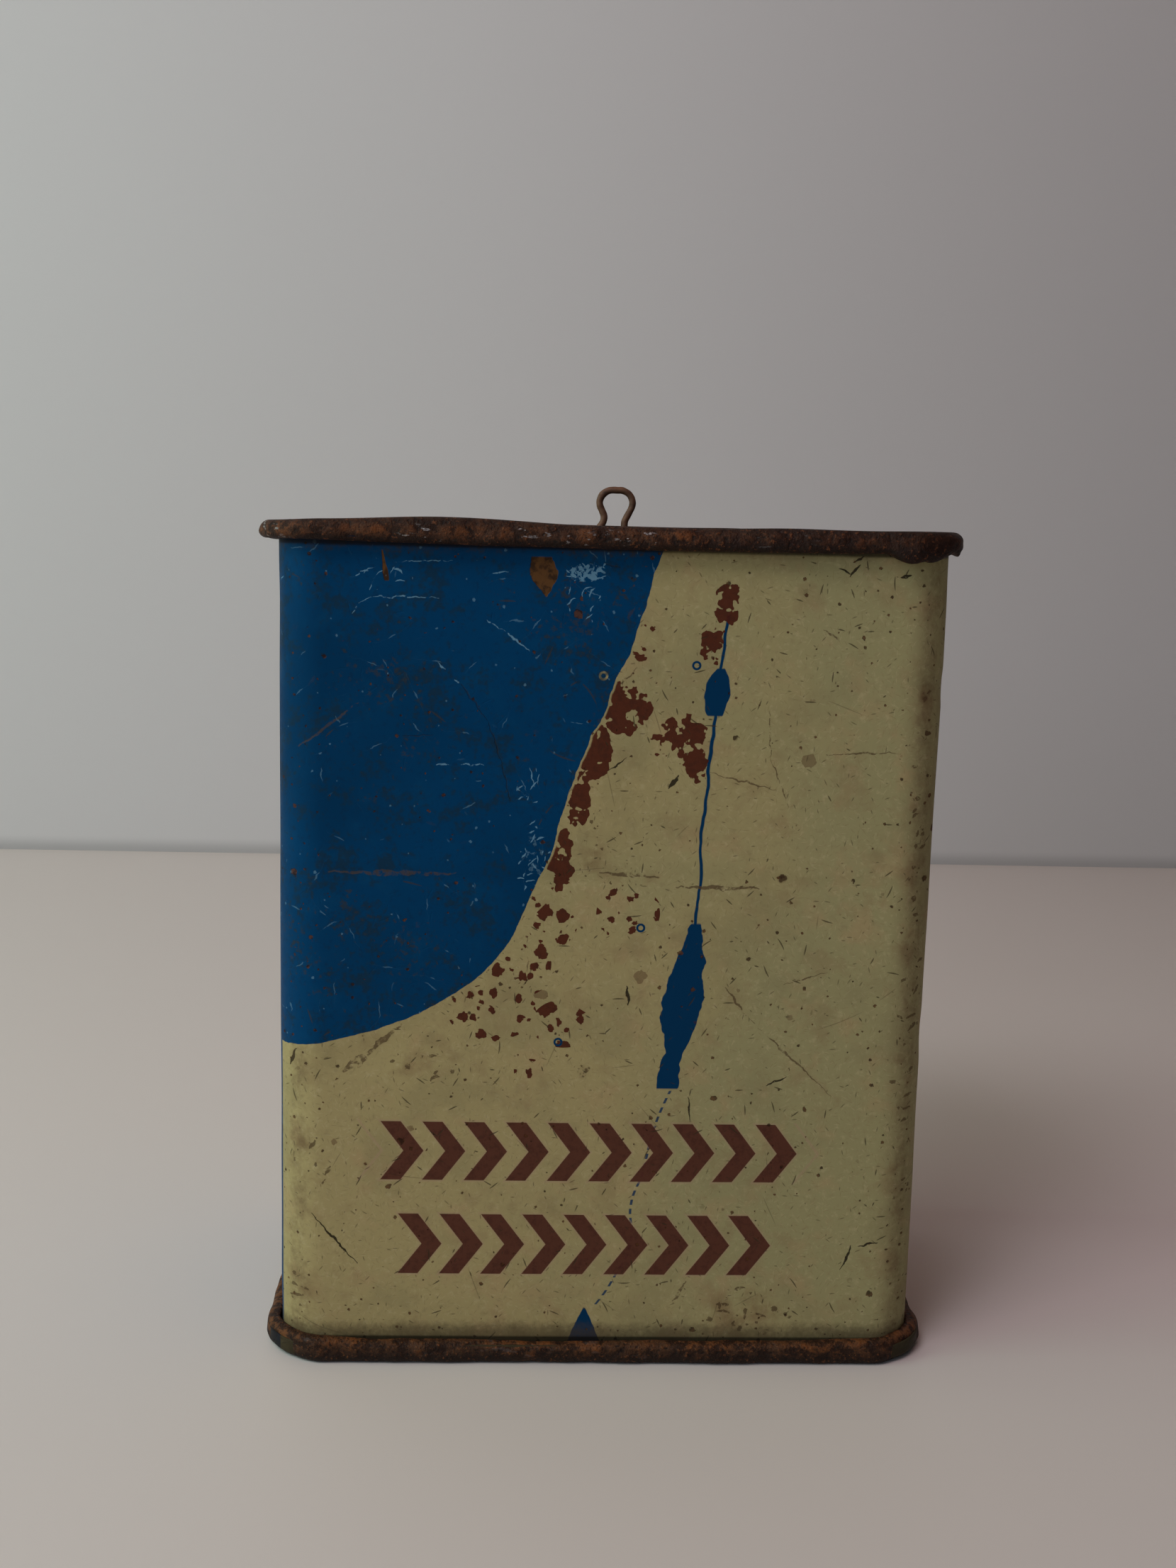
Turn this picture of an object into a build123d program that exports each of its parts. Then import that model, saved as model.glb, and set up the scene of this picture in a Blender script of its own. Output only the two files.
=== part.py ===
from build123d import *

import os

# A slot-top money box of printed tinplate: an upright box with rounded corners, a recessed
# top and base rolled on with hooked seams, a wire hanging loop, and a locked hatch below.
# Millimetres, +Z up. The front faces -Y. The origin is the middle of the footprint, on the
# surface that the base seam stands on.

# Tin
BODY_WIDTH = 100.0
BODY_DEPTH = 59.0
BODY_CORNER = 7.0
TIN_HEIGHT = 129.0
SHEET = 0.35

# Rolled seams that hold the ends on
SEAM_REACH = 2.5
SEAM_GAP = 0.06
TOP_SEAM_HEIGHT = 2.9
BASE_SEAM_HEIGHT = 4.0
CREST_RADIUS = 1.2
HOOK_CORNER = 0.35
HOOK_LAP = 0.6
TOP_RECESS = 2.6
BASE_RECESS = 3.4
PANEL_BEND = 0.5
PANEL_RUN = 3.0
CURL_GAP = 0.24

# Side seam down the back of the body
SIDE_SEAM_WIDTH = 4.0
SIDE_SEAM_RISE = 0.7
SIDE_SEAM_END_GAP = 0.7
SIDE_GROOVE_WIDTH = 0.3
SIDE_GROOVE_DEPTH = 0.12

# Coin slot and the guard below it
SLOT_LENGTH = 38.0
SLOT_WIDTH = 5.0
SLOT_CORNER = 1.0
SLOT_LIP_DROP = 1.6
GUARD_LENGTH = 46.0
GUARD_FLANGE = 7.0
GUARD_DROP = 9.0
GUARD_SLOPE_DROP = 5.0
GUARD_SETBACK = 4.5
GUARD_BENDS = [0.6, 1.5]

# Hanging loop of bent wire, soldered on behind the slot
WIRE = 1.2
LOOP_X = 2.2
LOOP_Y = 22.0
LOOP_TOP = 135.75
LOOP_FOOT = 5.0
LOOP_CLEARANCE = 0.05
LOOP_FOOT_X = (-3.9, 1.4)
LOOP_NECK = ((-1.75, 5.0), (1.6, 5.3))
LOOP_SHOULDER = ((-3.1, 2.2), (3.1, 2.3))
LOOP_CROWN = 2.1
LOOP_BENDS = [0.9, 2.0, 1.9, 2.3, 2.3, 1.9, 2.2, 0.9]

# Solder over the loop's feet
MOUND_X = (-6.9, 4.6)
MOUND_LENGTH = 5.2
MOUND_WIDTH = 3.4
MOUND_COVER = 0.25
MOUND_ROUND = 0.7

# Emptying hatch in the base
HATCH_WIDTH = 52.0
HATCH_FRONT = -17.0
HATCH_BACK = 14.5
HATCH_CORNER = 4.0
HATCH_LAP = 3.0
DOOR_THICKNESS = 0.45
DOOR_GAP = 0.4
DOOR_LIP_DROP = 1.3
DOOR_CORNER = 2.5
DOOR_LIP_SHARE = 0.4
WING_NOTCH = (5.0, 3.0)

# Hatch hinge
HINGE_Y = 19.0
HINGE_Z = 1.9
KNUCKLE_RADIUS = 1.1
PIN_RADIUS = 0.6
PIN_CLEARANCE = 0.05
HINGE_LENGTH = 40.0
KNUCKLES = 5
KNUCKLE_GAP = 0.15
LEAF_DEPTH = 7.5
LEAF_THICKNESS = 0.45
LEAF_CORNER = 0.2
KNUCKLE_SWING = 0.35
PIN_PROUD = 0.3
PIN_HEAD_RADIUS = 0.85
PIN_HEAD_LENGTH = 0.4
HINGE_RIVET_INSET = 6.0
HINGE_RIVET_SETBACK = 4.65

# Small rivets
RIVET_SHANK = 0.8
RIVET_HEAD = 1.4
RIVET_HEAD_HEIGHT = 0.5
RIVET_HEAD_ROUND = 0.4
RIVET_FIT = 0.02
RIVET_OVERLAP = 0.05

# Hatch lock
LOCK_Y = -9.5
CASE_RADIUS = 6.0
CASE_HEIGHT = 4.5
CASE_SHEET = 0.4
EAR_LENGTH = 11.0
EAR_WIDTH = 6.0
SPINDLE_RADIUS = 2.3
SPINDLE_SQUARE = 3.0
COLLAR_RADIUS = 3.6
COLLAR_HEIGHT = 0.6
CAM_THICKNESS = 0.8
CAM_BEND = 7.3
CAM_REACH = 11.0
CAM_WIDTH = 5.0
CAM_LIFT = 0.75
CAM_HUB_RADIUS = 3.6
CAM_GAP = 0.4
CAM_HOLE_PLAY = 0.04
PLATE_THICKNESS = 0.4
EAR_CORNER = 2.95
CASE_ROUND = 0.6
COLLAR_GAP = 0.15
KEY_SLOT = (3.2, 0.8, 1.5)
KEY_BORE_RADIUS = 0.85
KEY_BORE_DEPTH = 2.0
SCREW_RADIUS = 0.62
SCREW_LENGTH = 2.4
SCREW_BORE_RADIUS = 0.65
SCREW_BORE_DEPTH = 2.6
SCREW_HEAD_RADIUS = 2.3
SCREW_HEAD_HEIGHT = 1.1
SCREW_HEAD_ROUND = 0.5
SCREW_SLOT = (0.5, 0.5)
SPRING_THICKNESS = 0.24
SPRING_HEIGHT = 2.2
SPRING_LOW = 1.3
SPRING_END = 4.1
SPRING_BEND = 1.6
SPRING_BACK = 2.9
SPRING_NOSE = 2.57
SPRING_BENDS = [0.8, 0.6, 0.8]

HALF_WIDTH = BODY_WIDTH / 2
HALF_DEPTH = BODY_DEPTH / 2
TOP_PANEL_Z = TIN_HEIGHT - TOP_RECESS
BASE_PANEL_Z = BASE_RECESS
DOOR_TOP = BASE_PANEL_Z - DOOR_GAP
DOOR_BOTTOM = DOOR_TOP - DOOR_THICKNESS
CASE_TOP = DOOR_TOP + CASE_HEIGHT
CAM_BASE = CASE_TOP + CAM_GAP
CAM_TIP_Z = BASE_PANEL_Z + SHEET + CAM_LIFT
HOOK_DEPTH = SHEET + SEAM_GAP + SHEET / 2
HOOK_OUT = SEAM_REACH - SHEET * 1.5 - SEAM_GAP
HOOK_BEND = CREST_RADIUS - SHEET - SEAM_GAP
CURL_BEND = CREST_RADIUS * 0.8
HINGE_RIVET_Y = HINGE_Y + HINGE_RIVET_SETBACK


def rounded_block(width, depth, corner, low, high, x=0.0, y=0.0):
    """A plate or block with rounded upright corners between two heights."""
    outline = Pos(x, y, low) * RectangleRounded(width, depth, corner)
    return extrude(outline, amount=high - low)


def post(x, y, radius, low, high):
    """An upright round post."""
    return Pos(x, y, low) * Cylinder(radius, high - low, align=(Align.CENTER, Align.CENTER, Align.MIN))


def wall_path():
    """The line of the body's outer face, seen from above."""
    corners = [
        (-HALF_WIDTH, -HALF_DEPTH),
        (HALF_WIDTH, -HALF_DEPTH),
        (HALF_WIDTH, HALF_DEPTH),
        (-HALF_WIDTH, HALF_DEPTH),
    ]
    return FilletPolyline(*corners, radius=BODY_CORNER, close=True).wire()


def sweep_sheet(points, radii):
    """Carry a bent strip of sheet around the body. Points are (outward, up) on its middle line."""
    path = wall_path()
    start = path @ 0
    along = path % 0
    outward = along.cross(Vector(0, 0, 1))
    station = Plane(origin=start, x_dir=outward, z_dir=along * -1)
    middle = FilletPolyline(*points, radius=radii)
    strip = make_face(middle.wire().offset_2d(SHEET / 2, side=Side.BOTH, kind=Kind.INTERSECTION))
    return Solid.sweep(station * strip.face(), path)


def make_body_shell():
    """Wrap with an outward hook at each end and a locked side seam down the back."""
    top = TIN_HEIGHT
    points = [
        (HOOK_OUT, BASE_SEAM_HEIGHT - SHEET - HOOK_LAP),
        (HOOK_OUT, HOOK_DEPTH),
        (-SHEET / 2, HOOK_DEPTH),
        (-SHEET / 2, top - HOOK_DEPTH),
        (HOOK_OUT, top - HOOK_DEPTH),
        (HOOK_OUT, top - TOP_SEAM_HEIGHT + SHEET + HOOK_LAP),
    ]
    shell = sweep_sheet(points, [HOOK_BEND, HOOK_CORNER, HOOK_CORNER, HOOK_BEND])
    low = BASE_PANEL_Z + SHEET + SIDE_SEAM_END_GAP
    high = TOP_PANEL_Z - SHEET - SIDE_SEAM_END_GAP
    inner = HALF_DEPTH - SHEET
    rib_depth = SIDE_SEAM_RISE + SHEET / 2
    rib_y = inner + SHEET / 2 - rib_depth / 2
    rib = rounded_block(SIDE_SEAM_WIDTH, rib_depth, SHEET / 2, low, high, y=rib_y)
    groove = Pos(SIDE_SEAM_WIDTH / 2, HALF_DEPTH, (BASE_SEAM_HEIGHT + top - TOP_SEAM_HEIGHT) / 2)
    groove_length = top - TOP_SEAM_HEIGHT - BASE_SEAM_HEIGHT
    cut = groove * Box(SIDE_GROOVE_WIDTH, SIDE_GROOVE_DEPTH * 2, groove_length)
    return shell + rib - cut


def make_end(seam_height, recess):
    """A recessed end, built at the base: its outer face looks down and its crest is at 0."""
    wall = -SHEET - SEAM_GAP - SHEET / 2
    crest = SHEET / 2
    rim = SEAM_REACH - SHEET / 2
    curl = seam_height - SHEET / 2
    panel = recess + SHEET / 2
    hook = SHEET + CURL_GAP
    points = [
        (wall - PANEL_RUN, panel),
        (wall, panel),
        (wall, crest),
        (rim, crest),
        (rim, curl),
        (hook, curl),
        (hook, HOOK_DEPTH + SHEET / 2 + HOOK_LAP),
    ]
    radii = [PANEL_BEND, HOOK_CORNER, CREST_RADIUS, CURL_BEND, HOOK_CORNER]
    ring = sweep_sheet(points, radii)
    inset = SHEET + SEAM_GAP + PANEL_BEND + SHEET
    width = BODY_WIDTH - 2 * inset
    depth = BODY_DEPTH - 2 * inset
    plate = rounded_block(width, depth, BODY_CORNER - inset, recess, recess + SHEET)
    return ring + plate


def make_top_end():
    """Top with the coin slot and its turned-down lips."""
    end = make_end(TOP_SEAM_HEIGHT, TOP_RECESS).mirror(Plane.XY).moved(Location((0, 0, TIN_HEIGHT)))
    lip_low = TOP_PANEL_Z - SHEET - SLOT_LIP_DROP
    lip_length = SLOT_LENGTH + 2 * SHEET
    lip_width = SLOT_WIDTH + 2 * SHEET
    lips = rounded_block(lip_length, lip_width, SLOT_CORNER + SHEET, lip_low, TOP_PANEL_Z)
    slot = rounded_block(SLOT_LENGTH, SLOT_WIDTH, SLOT_CORNER, lip_low - 1, TOP_PANEL_Z + 1)
    return end + lips - slot


def make_base_end():
    """Base with the hatch opening and three holes for the hinge rivets."""
    end = make_end(BASE_SEAM_HEIGHT, BASE_RECESS)
    middle = (HATCH_FRONT + HATCH_BACK) / 2
    low = BASE_PANEL_Z - 1
    high = BASE_PANEL_Z + SHEET + 1
    opening = rounded_block(HATCH_WIDTH, HATCH_BACK - HATCH_FRONT, HATCH_CORNER, low, high, y=middle)
    base = end - opening
    for x in hinge_rivet_places():
        base -= post(x, HINGE_RIVET_Y, RIVET_SHANK, low, high)
    return base


def hinge_rivet_places():
    place = HINGE_LENGTH / 2 - HINGE_RIVET_INSET
    return [-place, 0.0, place]


def knuckle_span(index):
    """Start and end along X of one hinge knuckle."""
    pitch = HINGE_LENGTH / KNUCKLES
    start = -HINGE_LENGTH / 2 + index * pitch
    return start + KNUCKLE_GAP / 2, start + pitch - KNUCKLE_GAP / 2


def knuckle(index):
    """One rolled knuckle about the hinge axis, with its bore."""
    start, end = knuckle_span(index)
    section = Circle(KNUCKLE_RADIUS) - Circle(PIN_RADIUS + PIN_CLEARANCE)
    station = Plane(origin=(start, HINGE_Y, HINGE_Z), x_dir=(0, 1, 0), z_dir=(1, 0, 0))
    return extrude(station * section, amount=end - start)


def knuckle_clearance(index):
    """Room cut in one leaf for the other leaf's knuckle."""
    start, end = knuckle_span(index)
    reach = KNUCKLE_RADIUS + KNUCKLE_SWING
    width = end - start + 2 * KNUCKLE_GAP
    middle = (start + end) / 2
    return Pos(middle, HINGE_Y, HINGE_Z) * Box(width, 2 * reach, 2 * reach)


def make_hinge_leaf():
    """Fixed leaf, riveted to the base behind the hatch."""
    leaf_high = BASE_PANEL_Z
    leaf_low = leaf_high - LEAF_THICKNESS
    middle = HINGE_Y + LEAF_DEPTH / 2
    leaf = rounded_block(HINGE_LENGTH, LEAF_DEPTH, LEAF_CORNER, leaf_low, leaf_high, y=middle)
    bore = PIN_RADIUS + PIN_CLEARANCE
    for index in range(1, KNUCKLES, 2):
        leaf += knuckle(index)
    for index in range(0, KNUCKLES, 2):
        leaf -= knuckle_clearance(index)
    leaf -= Pos(0, HINGE_Y, HINGE_Z) * Rot(0, 90, 0) * Cylinder(bore, HINGE_LENGTH)
    for x in hinge_rivet_places():
        leaf -= post(x, HINGE_RIVET_Y, RIVET_SHANK, leaf_low - 1, leaf_high + 1)
    return leaf


def make_hinge_pin():
    """Plain pin, headed over at both ends."""
    length = HINGE_LENGTH + 2 * PIN_PROUD
    pin = Pos(0, HINGE_Y, HINGE_Z) * Rot(0, 90, 0) * Cylinder(PIN_RADIUS, length)
    for side in (-1, 1):
        head = Rot(0, 90, 0) * Cylinder(PIN_HEAD_RADIUS, PIN_HEAD_LENGTH)
        pin += Pos(side * (length + PIN_HEAD_LENGTH) / 2, HINGE_Y, HINGE_Z) * head
    return pin


def rivet(x, y, low, high):
    """Rivet through a stack of sheet, with a domed head below and above."""
    body = post(x, y, RIVET_SHANK - RIVET_FIT, low - RIVET_OVERLAP, high + RIVET_OVERLAP)
    lower = post(x, y, RIVET_HEAD, low - RIVET_HEAD_HEIGHT, low)
    upper = post(x, y, RIVET_HEAD, high, high + RIVET_HEAD_HEIGHT)
    lower = fillet(lower.edges().group_by(Axis.Z)[0], RIVET_HEAD_ROUND)
    upper = fillet(upper.edges().group_by(Axis.Z)[-1], RIVET_HEAD_ROUND)
    return body + lower + upper


def make_hinge_rivets():
    low = BASE_PANEL_Z - LEAF_THICKNESS
    high = BASE_PANEL_Z + SHEET
    return [rivet(x, HINGE_RIVET_Y, low, high) for x in hinge_rivet_places()]


def make_hatch_door():
    """Door with rolled knuckles at the back and a turned-down finger lip in front."""
    front = HATCH_FRONT - HATCH_LAP
    width = HATCH_WIDTH + 2 * HATCH_LAP
    middle = (front + HINGE_Y) / 2
    door = rounded_block(width, HINGE_Y - front, DOOR_CORNER, DOOR_BOTTOM, DOOR_TOP, y=middle)
    lip_width = width * DOOR_LIP_SHARE
    lip_z = DOOR_BOTTOM - DOOR_LIP_DROP / 2
    door += Pos(0, front + DOOR_THICKNESS / 2, lip_z) * Box(lip_width, DOOR_THICKNESS, DOOR_LIP_DROP)
    wing = (width - HINGE_LENGTH) / 2 + KNUCKLE_GAP
    for side in (-1, 1):
        wing_x = side * (HINGE_LENGTH / 2 + wing / 2 - KNUCKLE_GAP / 2)
        door -= Pos(wing_x, HINGE_Y, DOOR_TOP) * Box(wing, *WING_NOTCH)
    for index in range(0, KNUCKLES, 2):
        door += knuckle(index)
    for index in range(1, KNUCKLES, 2):
        door -= knuckle_clearance(index)
    bore = PIN_RADIUS + PIN_CLEARANCE
    door -= Pos(0, HINGE_Y, HINGE_Z) * Rot(0, 90, 0) * Cylinder(bore, HINGE_LENGTH)
    door -= post(0, LOCK_Y, SPINDLE_RADIUS + PIN_CLEARANCE, DOOR_BOTTOM - 1, DOOR_TOP + 1)
    for x in lock_rivet_places():
        door -= post(x, LOCK_Y, RIVET_SHANK, DOOR_BOTTOM - 1, DOOR_TOP + 1)
    return door


def lock_rivet_places():
    place = EAR_LENGTH - EAR_WIDTH / 2
    return [-place, place]


def make_lock_case():
    """Drawn cup over the lock's works, with two ears on the door."""
    ears = rounded_block(
        2 * EAR_LENGTH, EAR_WIDTH, EAR_CORNER, DOOR_TOP, DOOR_TOP + CASE_SHEET, y=LOCK_Y
    )
    cup = post(0, LOCK_Y, CASE_RADIUS, DOOR_TOP, CASE_TOP)
    cup = fillet(cup.edges().group_by(Axis.Z)[-1], CASE_ROUND)
    hollow = post(0, LOCK_Y, CASE_RADIUS - CASE_SHEET, DOOR_TOP - 1, CASE_TOP - CASE_SHEET)
    case = ears + cup - hollow
    case -= post(0, LOCK_Y, SPINDLE_RADIUS + PIN_CLEARANCE, DOOR_TOP, CASE_TOP + 1)
    for x in lock_rivet_places():
        case -= post(x, LOCK_Y, RIVET_SHANK, DOOR_TOP - 1, CASE_TOP)
    return case


def make_keyhole_plate():
    """Escutcheon on the outside of the door, around the spindle's face."""
    low = DOOR_BOTTOM - PLATE_THICKNESS
    plate = rounded_block(2 * EAR_LENGTH, EAR_WIDTH, EAR_CORNER, low, DOOR_BOTTOM, y=LOCK_Y)
    plate += post(0, LOCK_Y, CASE_RADIUS, low, DOOR_BOTTOM)
    plate -= post(0, LOCK_Y, SPINDLE_RADIUS + PIN_CLEARANCE, low - 1, DOOR_BOTTOM + 1)
    for x in lock_rivet_places():
        plate -= post(x, LOCK_Y, RIVET_SHANK, low - 1, DOOR_BOTTOM + 1)
    return plate


def make_lock_rivets():
    low = DOOR_BOTTOM - PLATE_THICKNESS
    high = DOOR_TOP + CASE_SHEET
    return [rivet(x, LOCK_Y, low, high) for x in lock_rivet_places()]


def make_lock_spindle():
    """Turned spindle: key slot below, collar inside the case, square on top for the cam."""
    low = DOOR_BOTTOM - PLATE_THICKNESS
    spindle = post(0, LOCK_Y, SPINDLE_RADIUS, low, CAM_BASE)
    collar_low = DOOR_TOP + COLLAR_GAP
    spindle += post(0, LOCK_Y, COLLAR_RADIUS, collar_low, collar_low + COLLAR_HEIGHT)
    square = Pos(0, LOCK_Y, CAM_BASE + CAM_THICKNESS / 2)
    spindle += square * Box(SPINDLE_SQUARE, SPINDLE_SQUARE, CAM_THICKNESS)
    slot_length, slot_width, slot_depth = KEY_SLOT
    spindle -= Pos(0, LOCK_Y, low) * Box(slot_length, slot_width, 2 * slot_depth)
    spindle -= post(0, LOCK_Y, KEY_BORE_RADIUS, low - 1, low + KEY_BORE_DEPTH)
    top = CAM_BASE + CAM_THICKNESS
    spindle -= post(0, LOCK_Y, SCREW_BORE_RADIUS, CAM_BASE - SCREW_BORE_DEPTH, top + 1)
    return spindle


def make_lock_cam():
    """Cranked cam. It points along X when unlocked and over the base's edge when locked."""
    hub = post(0, LOCK_Y, CAM_HUB_RADIUS, CAM_BASE, CAM_BASE + CAM_THICKNESS)
    upper_length = CAM_BEND + CAM_THICKNESS
    upper = Pos(upper_length / 2, LOCK_Y, CAM_BASE + CAM_THICKNESS / 2)
    cam = hub + upper * Box(upper_length, CAM_WIDTH, CAM_THICKNESS)
    drop = CAM_BASE + CAM_THICKNESS - CAM_TIP_Z
    web = Pos(CAM_BEND + CAM_THICKNESS / 2, LOCK_Y, CAM_TIP_Z + drop / 2)
    cam += web * Box(CAM_THICKNESS, CAM_WIDTH, drop)
    tip_length = CAM_REACH - CAM_BEND
    tip = Pos(CAM_BEND + tip_length / 2, LOCK_Y, CAM_TIP_Z + CAM_THICKNESS / 2)
    cam += tip * Box(tip_length, CAM_WIDTH, CAM_THICKNESS)
    hole = SPINDLE_SQUARE + CAM_HOLE_PLAY
    cam -= Pos(0, LOCK_Y, CAM_BASE + CAM_THICKNESS / 2) * Box(hole, hole, 3 * CAM_THICKNESS)
    return cam


def make_cam_screw():
    """Pan-head screw that holds the cam on its square."""
    seat = CAM_BASE + CAM_THICKNESS
    top = seat + SCREW_HEAD_HEIGHT
    head = post(0, LOCK_Y, SCREW_HEAD_RADIUS, seat, top)
    head = fillet(head.edges().group_by(Axis.Z)[-1], SCREW_HEAD_ROUND)
    screw = head + post(0, LOCK_Y, SCREW_RADIUS, CAM_BASE - SCREW_LENGTH, seat)
    slot_width, slot_depth = SCREW_SLOT
    screw -= Pos(0, LOCK_Y, top) * Box(3 * SCREW_HEAD_RADIUS, slot_width, 2 * slot_depth)
    return screw


def make_detent_spring():
    """Bent leaf inside the case that steadies the spindle."""
    points = [
        (-SPRING_END, SPRING_BACK),
        (-SPRING_BEND, SPRING_BACK),
        (0, SPRING_NOSE),
        (SPRING_BEND, SPRING_BACK),
        (SPRING_END, SPRING_BACK),
    ]
    line = FilletPolyline(*points, radius=SPRING_BENDS).wire()
    half = SPRING_THICKNESS / 2
    strip = make_face(line.offset_2d(half, side=Side.BOTH, kind=Kind.INTERSECTION))
    return extrude(Pos(0, LOCK_Y, DOOR_TOP + SPRING_LOW) * strip, amount=SPRING_HEIGHT)


def make_slot_guard():
    """Bent strip under the slot that stops coins from being shaken out."""
    high = TOP_PANEL_Z - SHEET - SHEET / 2
    back = SLOT_WIDTH / 2 + GUARD_SETBACK
    points = [
        (back + GUARD_FLANGE, high),
        (back, high),
        (back, high - GUARD_DROP),
        (-back, high - GUARD_DROP - GUARD_SLOPE_DROP),
    ]
    line = FilletPolyline(*points, radius=GUARD_BENDS)
    strip = make_face(line.wire().offset_2d(SHEET / 2, side=Side.BOTH, kind=Kind.INTERSECTION))
    station = Plane(origin=(-GUARD_LENGTH / 2, 0, 0), x_dir=(0, 1, 0), z_dir=(1, 0, 0))
    return extrude(station * strip, amount=GUARD_LENGTH)


def loop_line():
    """Middle line of the wire: foot, neck, flattened ring, neck, foot."""
    ground = TOP_PANEL_Z + WIRE / 2 + LOOP_CLEARANCE
    top = LOOP_TOP - WIRE / 2
    foot_left, foot_right = LOOP_FOOT_X
    (neck_left, left_drop), (neck_right, right_drop) = LOOP_NECK
    (wide_left, left_fall), (wide_right, right_fall) = LOOP_SHOULDER
    points = [
        (foot_left - LOOP_FOOT, ground),
        (foot_left, ground),
        (neck_left, top - left_drop),
        (wide_left, top - left_fall),
        (-LOOP_CROWN, top),
        (LOOP_CROWN, top),
        (wide_right, top - right_fall),
        (neck_right, top - right_drop),
        (foot_right, ground),
        (foot_right + LOOP_FOOT, ground),
    ]
    return FilletPolyline(*points, radius=LOOP_BENDS).wire()


def make_hanging_loop():
    station = Plane(origin=(LOOP_X, LOOP_Y, 0), x_dir=(1, 0, 0), z_dir=(0, -1, 0))
    line = station * loop_line()
    start = Plane(origin=line @ 0, z_dir=line % 0)
    return Solid.sweep((start * Circle(WIRE / 2)).face(), line)


def make_loop_solder(wire):
    """A low mound of solder over each foot of the loop."""
    mounds = []
    for x in MOUND_X:
        outline = Pos(LOOP_X + x, LOOP_Y, TOP_PANEL_Z) * Ellipse(MOUND_LENGTH / 2, MOUND_WIDTH / 2)
        mound = extrude(outline, amount=WIRE + MOUND_COVER)
        mound = fillet(mound.edges().group_by(Axis.Z)[-1], MOUND_ROUND)
        mounds.append(mound - wire)
    return mounds


def save(shape, name):
    if isinstance(shape, list):
        shape = Compound(children=[solid for part in shape for solid in part.solids()])
    export_step(shape, f"parts/{name}.step")


os.makedirs("parts", exist_ok=True)
hanging_loop = make_hanging_loop()
save(make_body_shell(), "body_shell")
save(make_top_end(), "top_end")
save(make_base_end(), "base_end")
save(hanging_loop, "hanging_loop")
save(make_loop_solder(hanging_loop), "loop_solder")
save(make_slot_guard(), "slot_guard")
save(make_hatch_door(), "hatch_door")
save(make_hinge_leaf(), "hinge_leaf")
save(make_hinge_pin(), "hinge_pin")
save(make_hinge_rivets(), "hinge_rivets")
save(make_lock_case(), "lock_case")
save(make_keyhole_plate(), "keyhole_plate")
save(make_lock_rivets(), "lock_rivets")
save(make_lock_spindle(), "lock_spindle")
save(make_lock_cam(), "lock_cam")
save(make_cam_screw(), "cam_screw")
save(make_detent_spring(), "detent_spring")
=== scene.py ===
import math
from functools import partialmethod, reduce

import bmesh
import bpy
import numpy as np
from mathutils import Matrix, Vector


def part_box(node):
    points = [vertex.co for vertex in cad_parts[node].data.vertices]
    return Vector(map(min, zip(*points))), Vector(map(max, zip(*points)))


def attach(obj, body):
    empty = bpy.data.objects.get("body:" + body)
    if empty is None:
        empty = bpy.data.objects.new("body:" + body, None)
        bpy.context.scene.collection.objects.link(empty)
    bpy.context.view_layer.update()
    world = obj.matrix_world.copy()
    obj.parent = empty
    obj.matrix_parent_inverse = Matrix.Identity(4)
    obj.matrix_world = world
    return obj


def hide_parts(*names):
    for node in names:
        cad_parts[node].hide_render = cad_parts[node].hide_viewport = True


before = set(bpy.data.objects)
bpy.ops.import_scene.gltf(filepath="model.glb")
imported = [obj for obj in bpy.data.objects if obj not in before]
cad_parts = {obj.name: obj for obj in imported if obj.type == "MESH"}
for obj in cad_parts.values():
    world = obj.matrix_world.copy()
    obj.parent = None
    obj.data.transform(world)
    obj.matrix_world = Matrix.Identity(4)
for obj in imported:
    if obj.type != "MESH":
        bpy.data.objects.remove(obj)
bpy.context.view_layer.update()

# A worn tinplate money box. Lengths are millimetres until a mesh is made.
MM = 0.001
SHEET = 0.35
BODY_CORNER = 7.0
SEAM_REACH = 2.5
TOP_RECESS = 2.6
BASE_RECESS = 3.4
TOP_SEAM = 2.9
BASE_SEAM = 4.0
# Openings in the ends: half sizes, corner radius and middle y.
COIN_SLOT = (19.0, 2.5, 1.0, 0.0)
COIN_SLOT_LIP = 1.6
HATCH_OPENING = (26.0, 15.75, 4.0, -1.25)


def box_mm(node):
    """The lowest and highest corner of a CAD node, in millimetres."""
    low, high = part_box(node)
    return np.array(low) / MM, np.array(high) / MM


TOP_HIGH = box_mm("top_end")[1]
TIN_HEIGHT = TOP_HIGH[2]
HALF_WIDTH = TOP_HIGH[0] - SEAM_REACH
HALF_DEPTH = TOP_HIGH[1] - SEAM_REACH


# ---- mesh helpers ----

def wobble(points, size, seed, waves=14):
    """Smooth random field over points in millimetres, about -1 to 1, with features of this size."""
    rng = np.random.default_rng(seed)
    total = np.zeros(len(points))
    for _ in range(waves):
        direction = rng.normal(size=3)
        direction *= 2 * math.pi / (size * rng.uniform(1.4, 3.2) * np.linalg.norm(direction))
        total += np.sin(points @ direction + rng.uniform(0, 2 * math.pi))
    return total / math.sqrt(waves)


def bump(value, middle, half_width):
    """A smooth hump, 1 at the middle and 0 beyond the half width."""
    t = np.clip(np.abs(value - middle) / half_width, 0, 1)
    return (1 - t * t) ** 2


def ramp(value, low, high):
    """0 up to low, 1 from high on, smooth between."""
    t = np.clip((value - low) / (high - low), 0, 1)
    return t * t * (3 - 2 * t)


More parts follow.
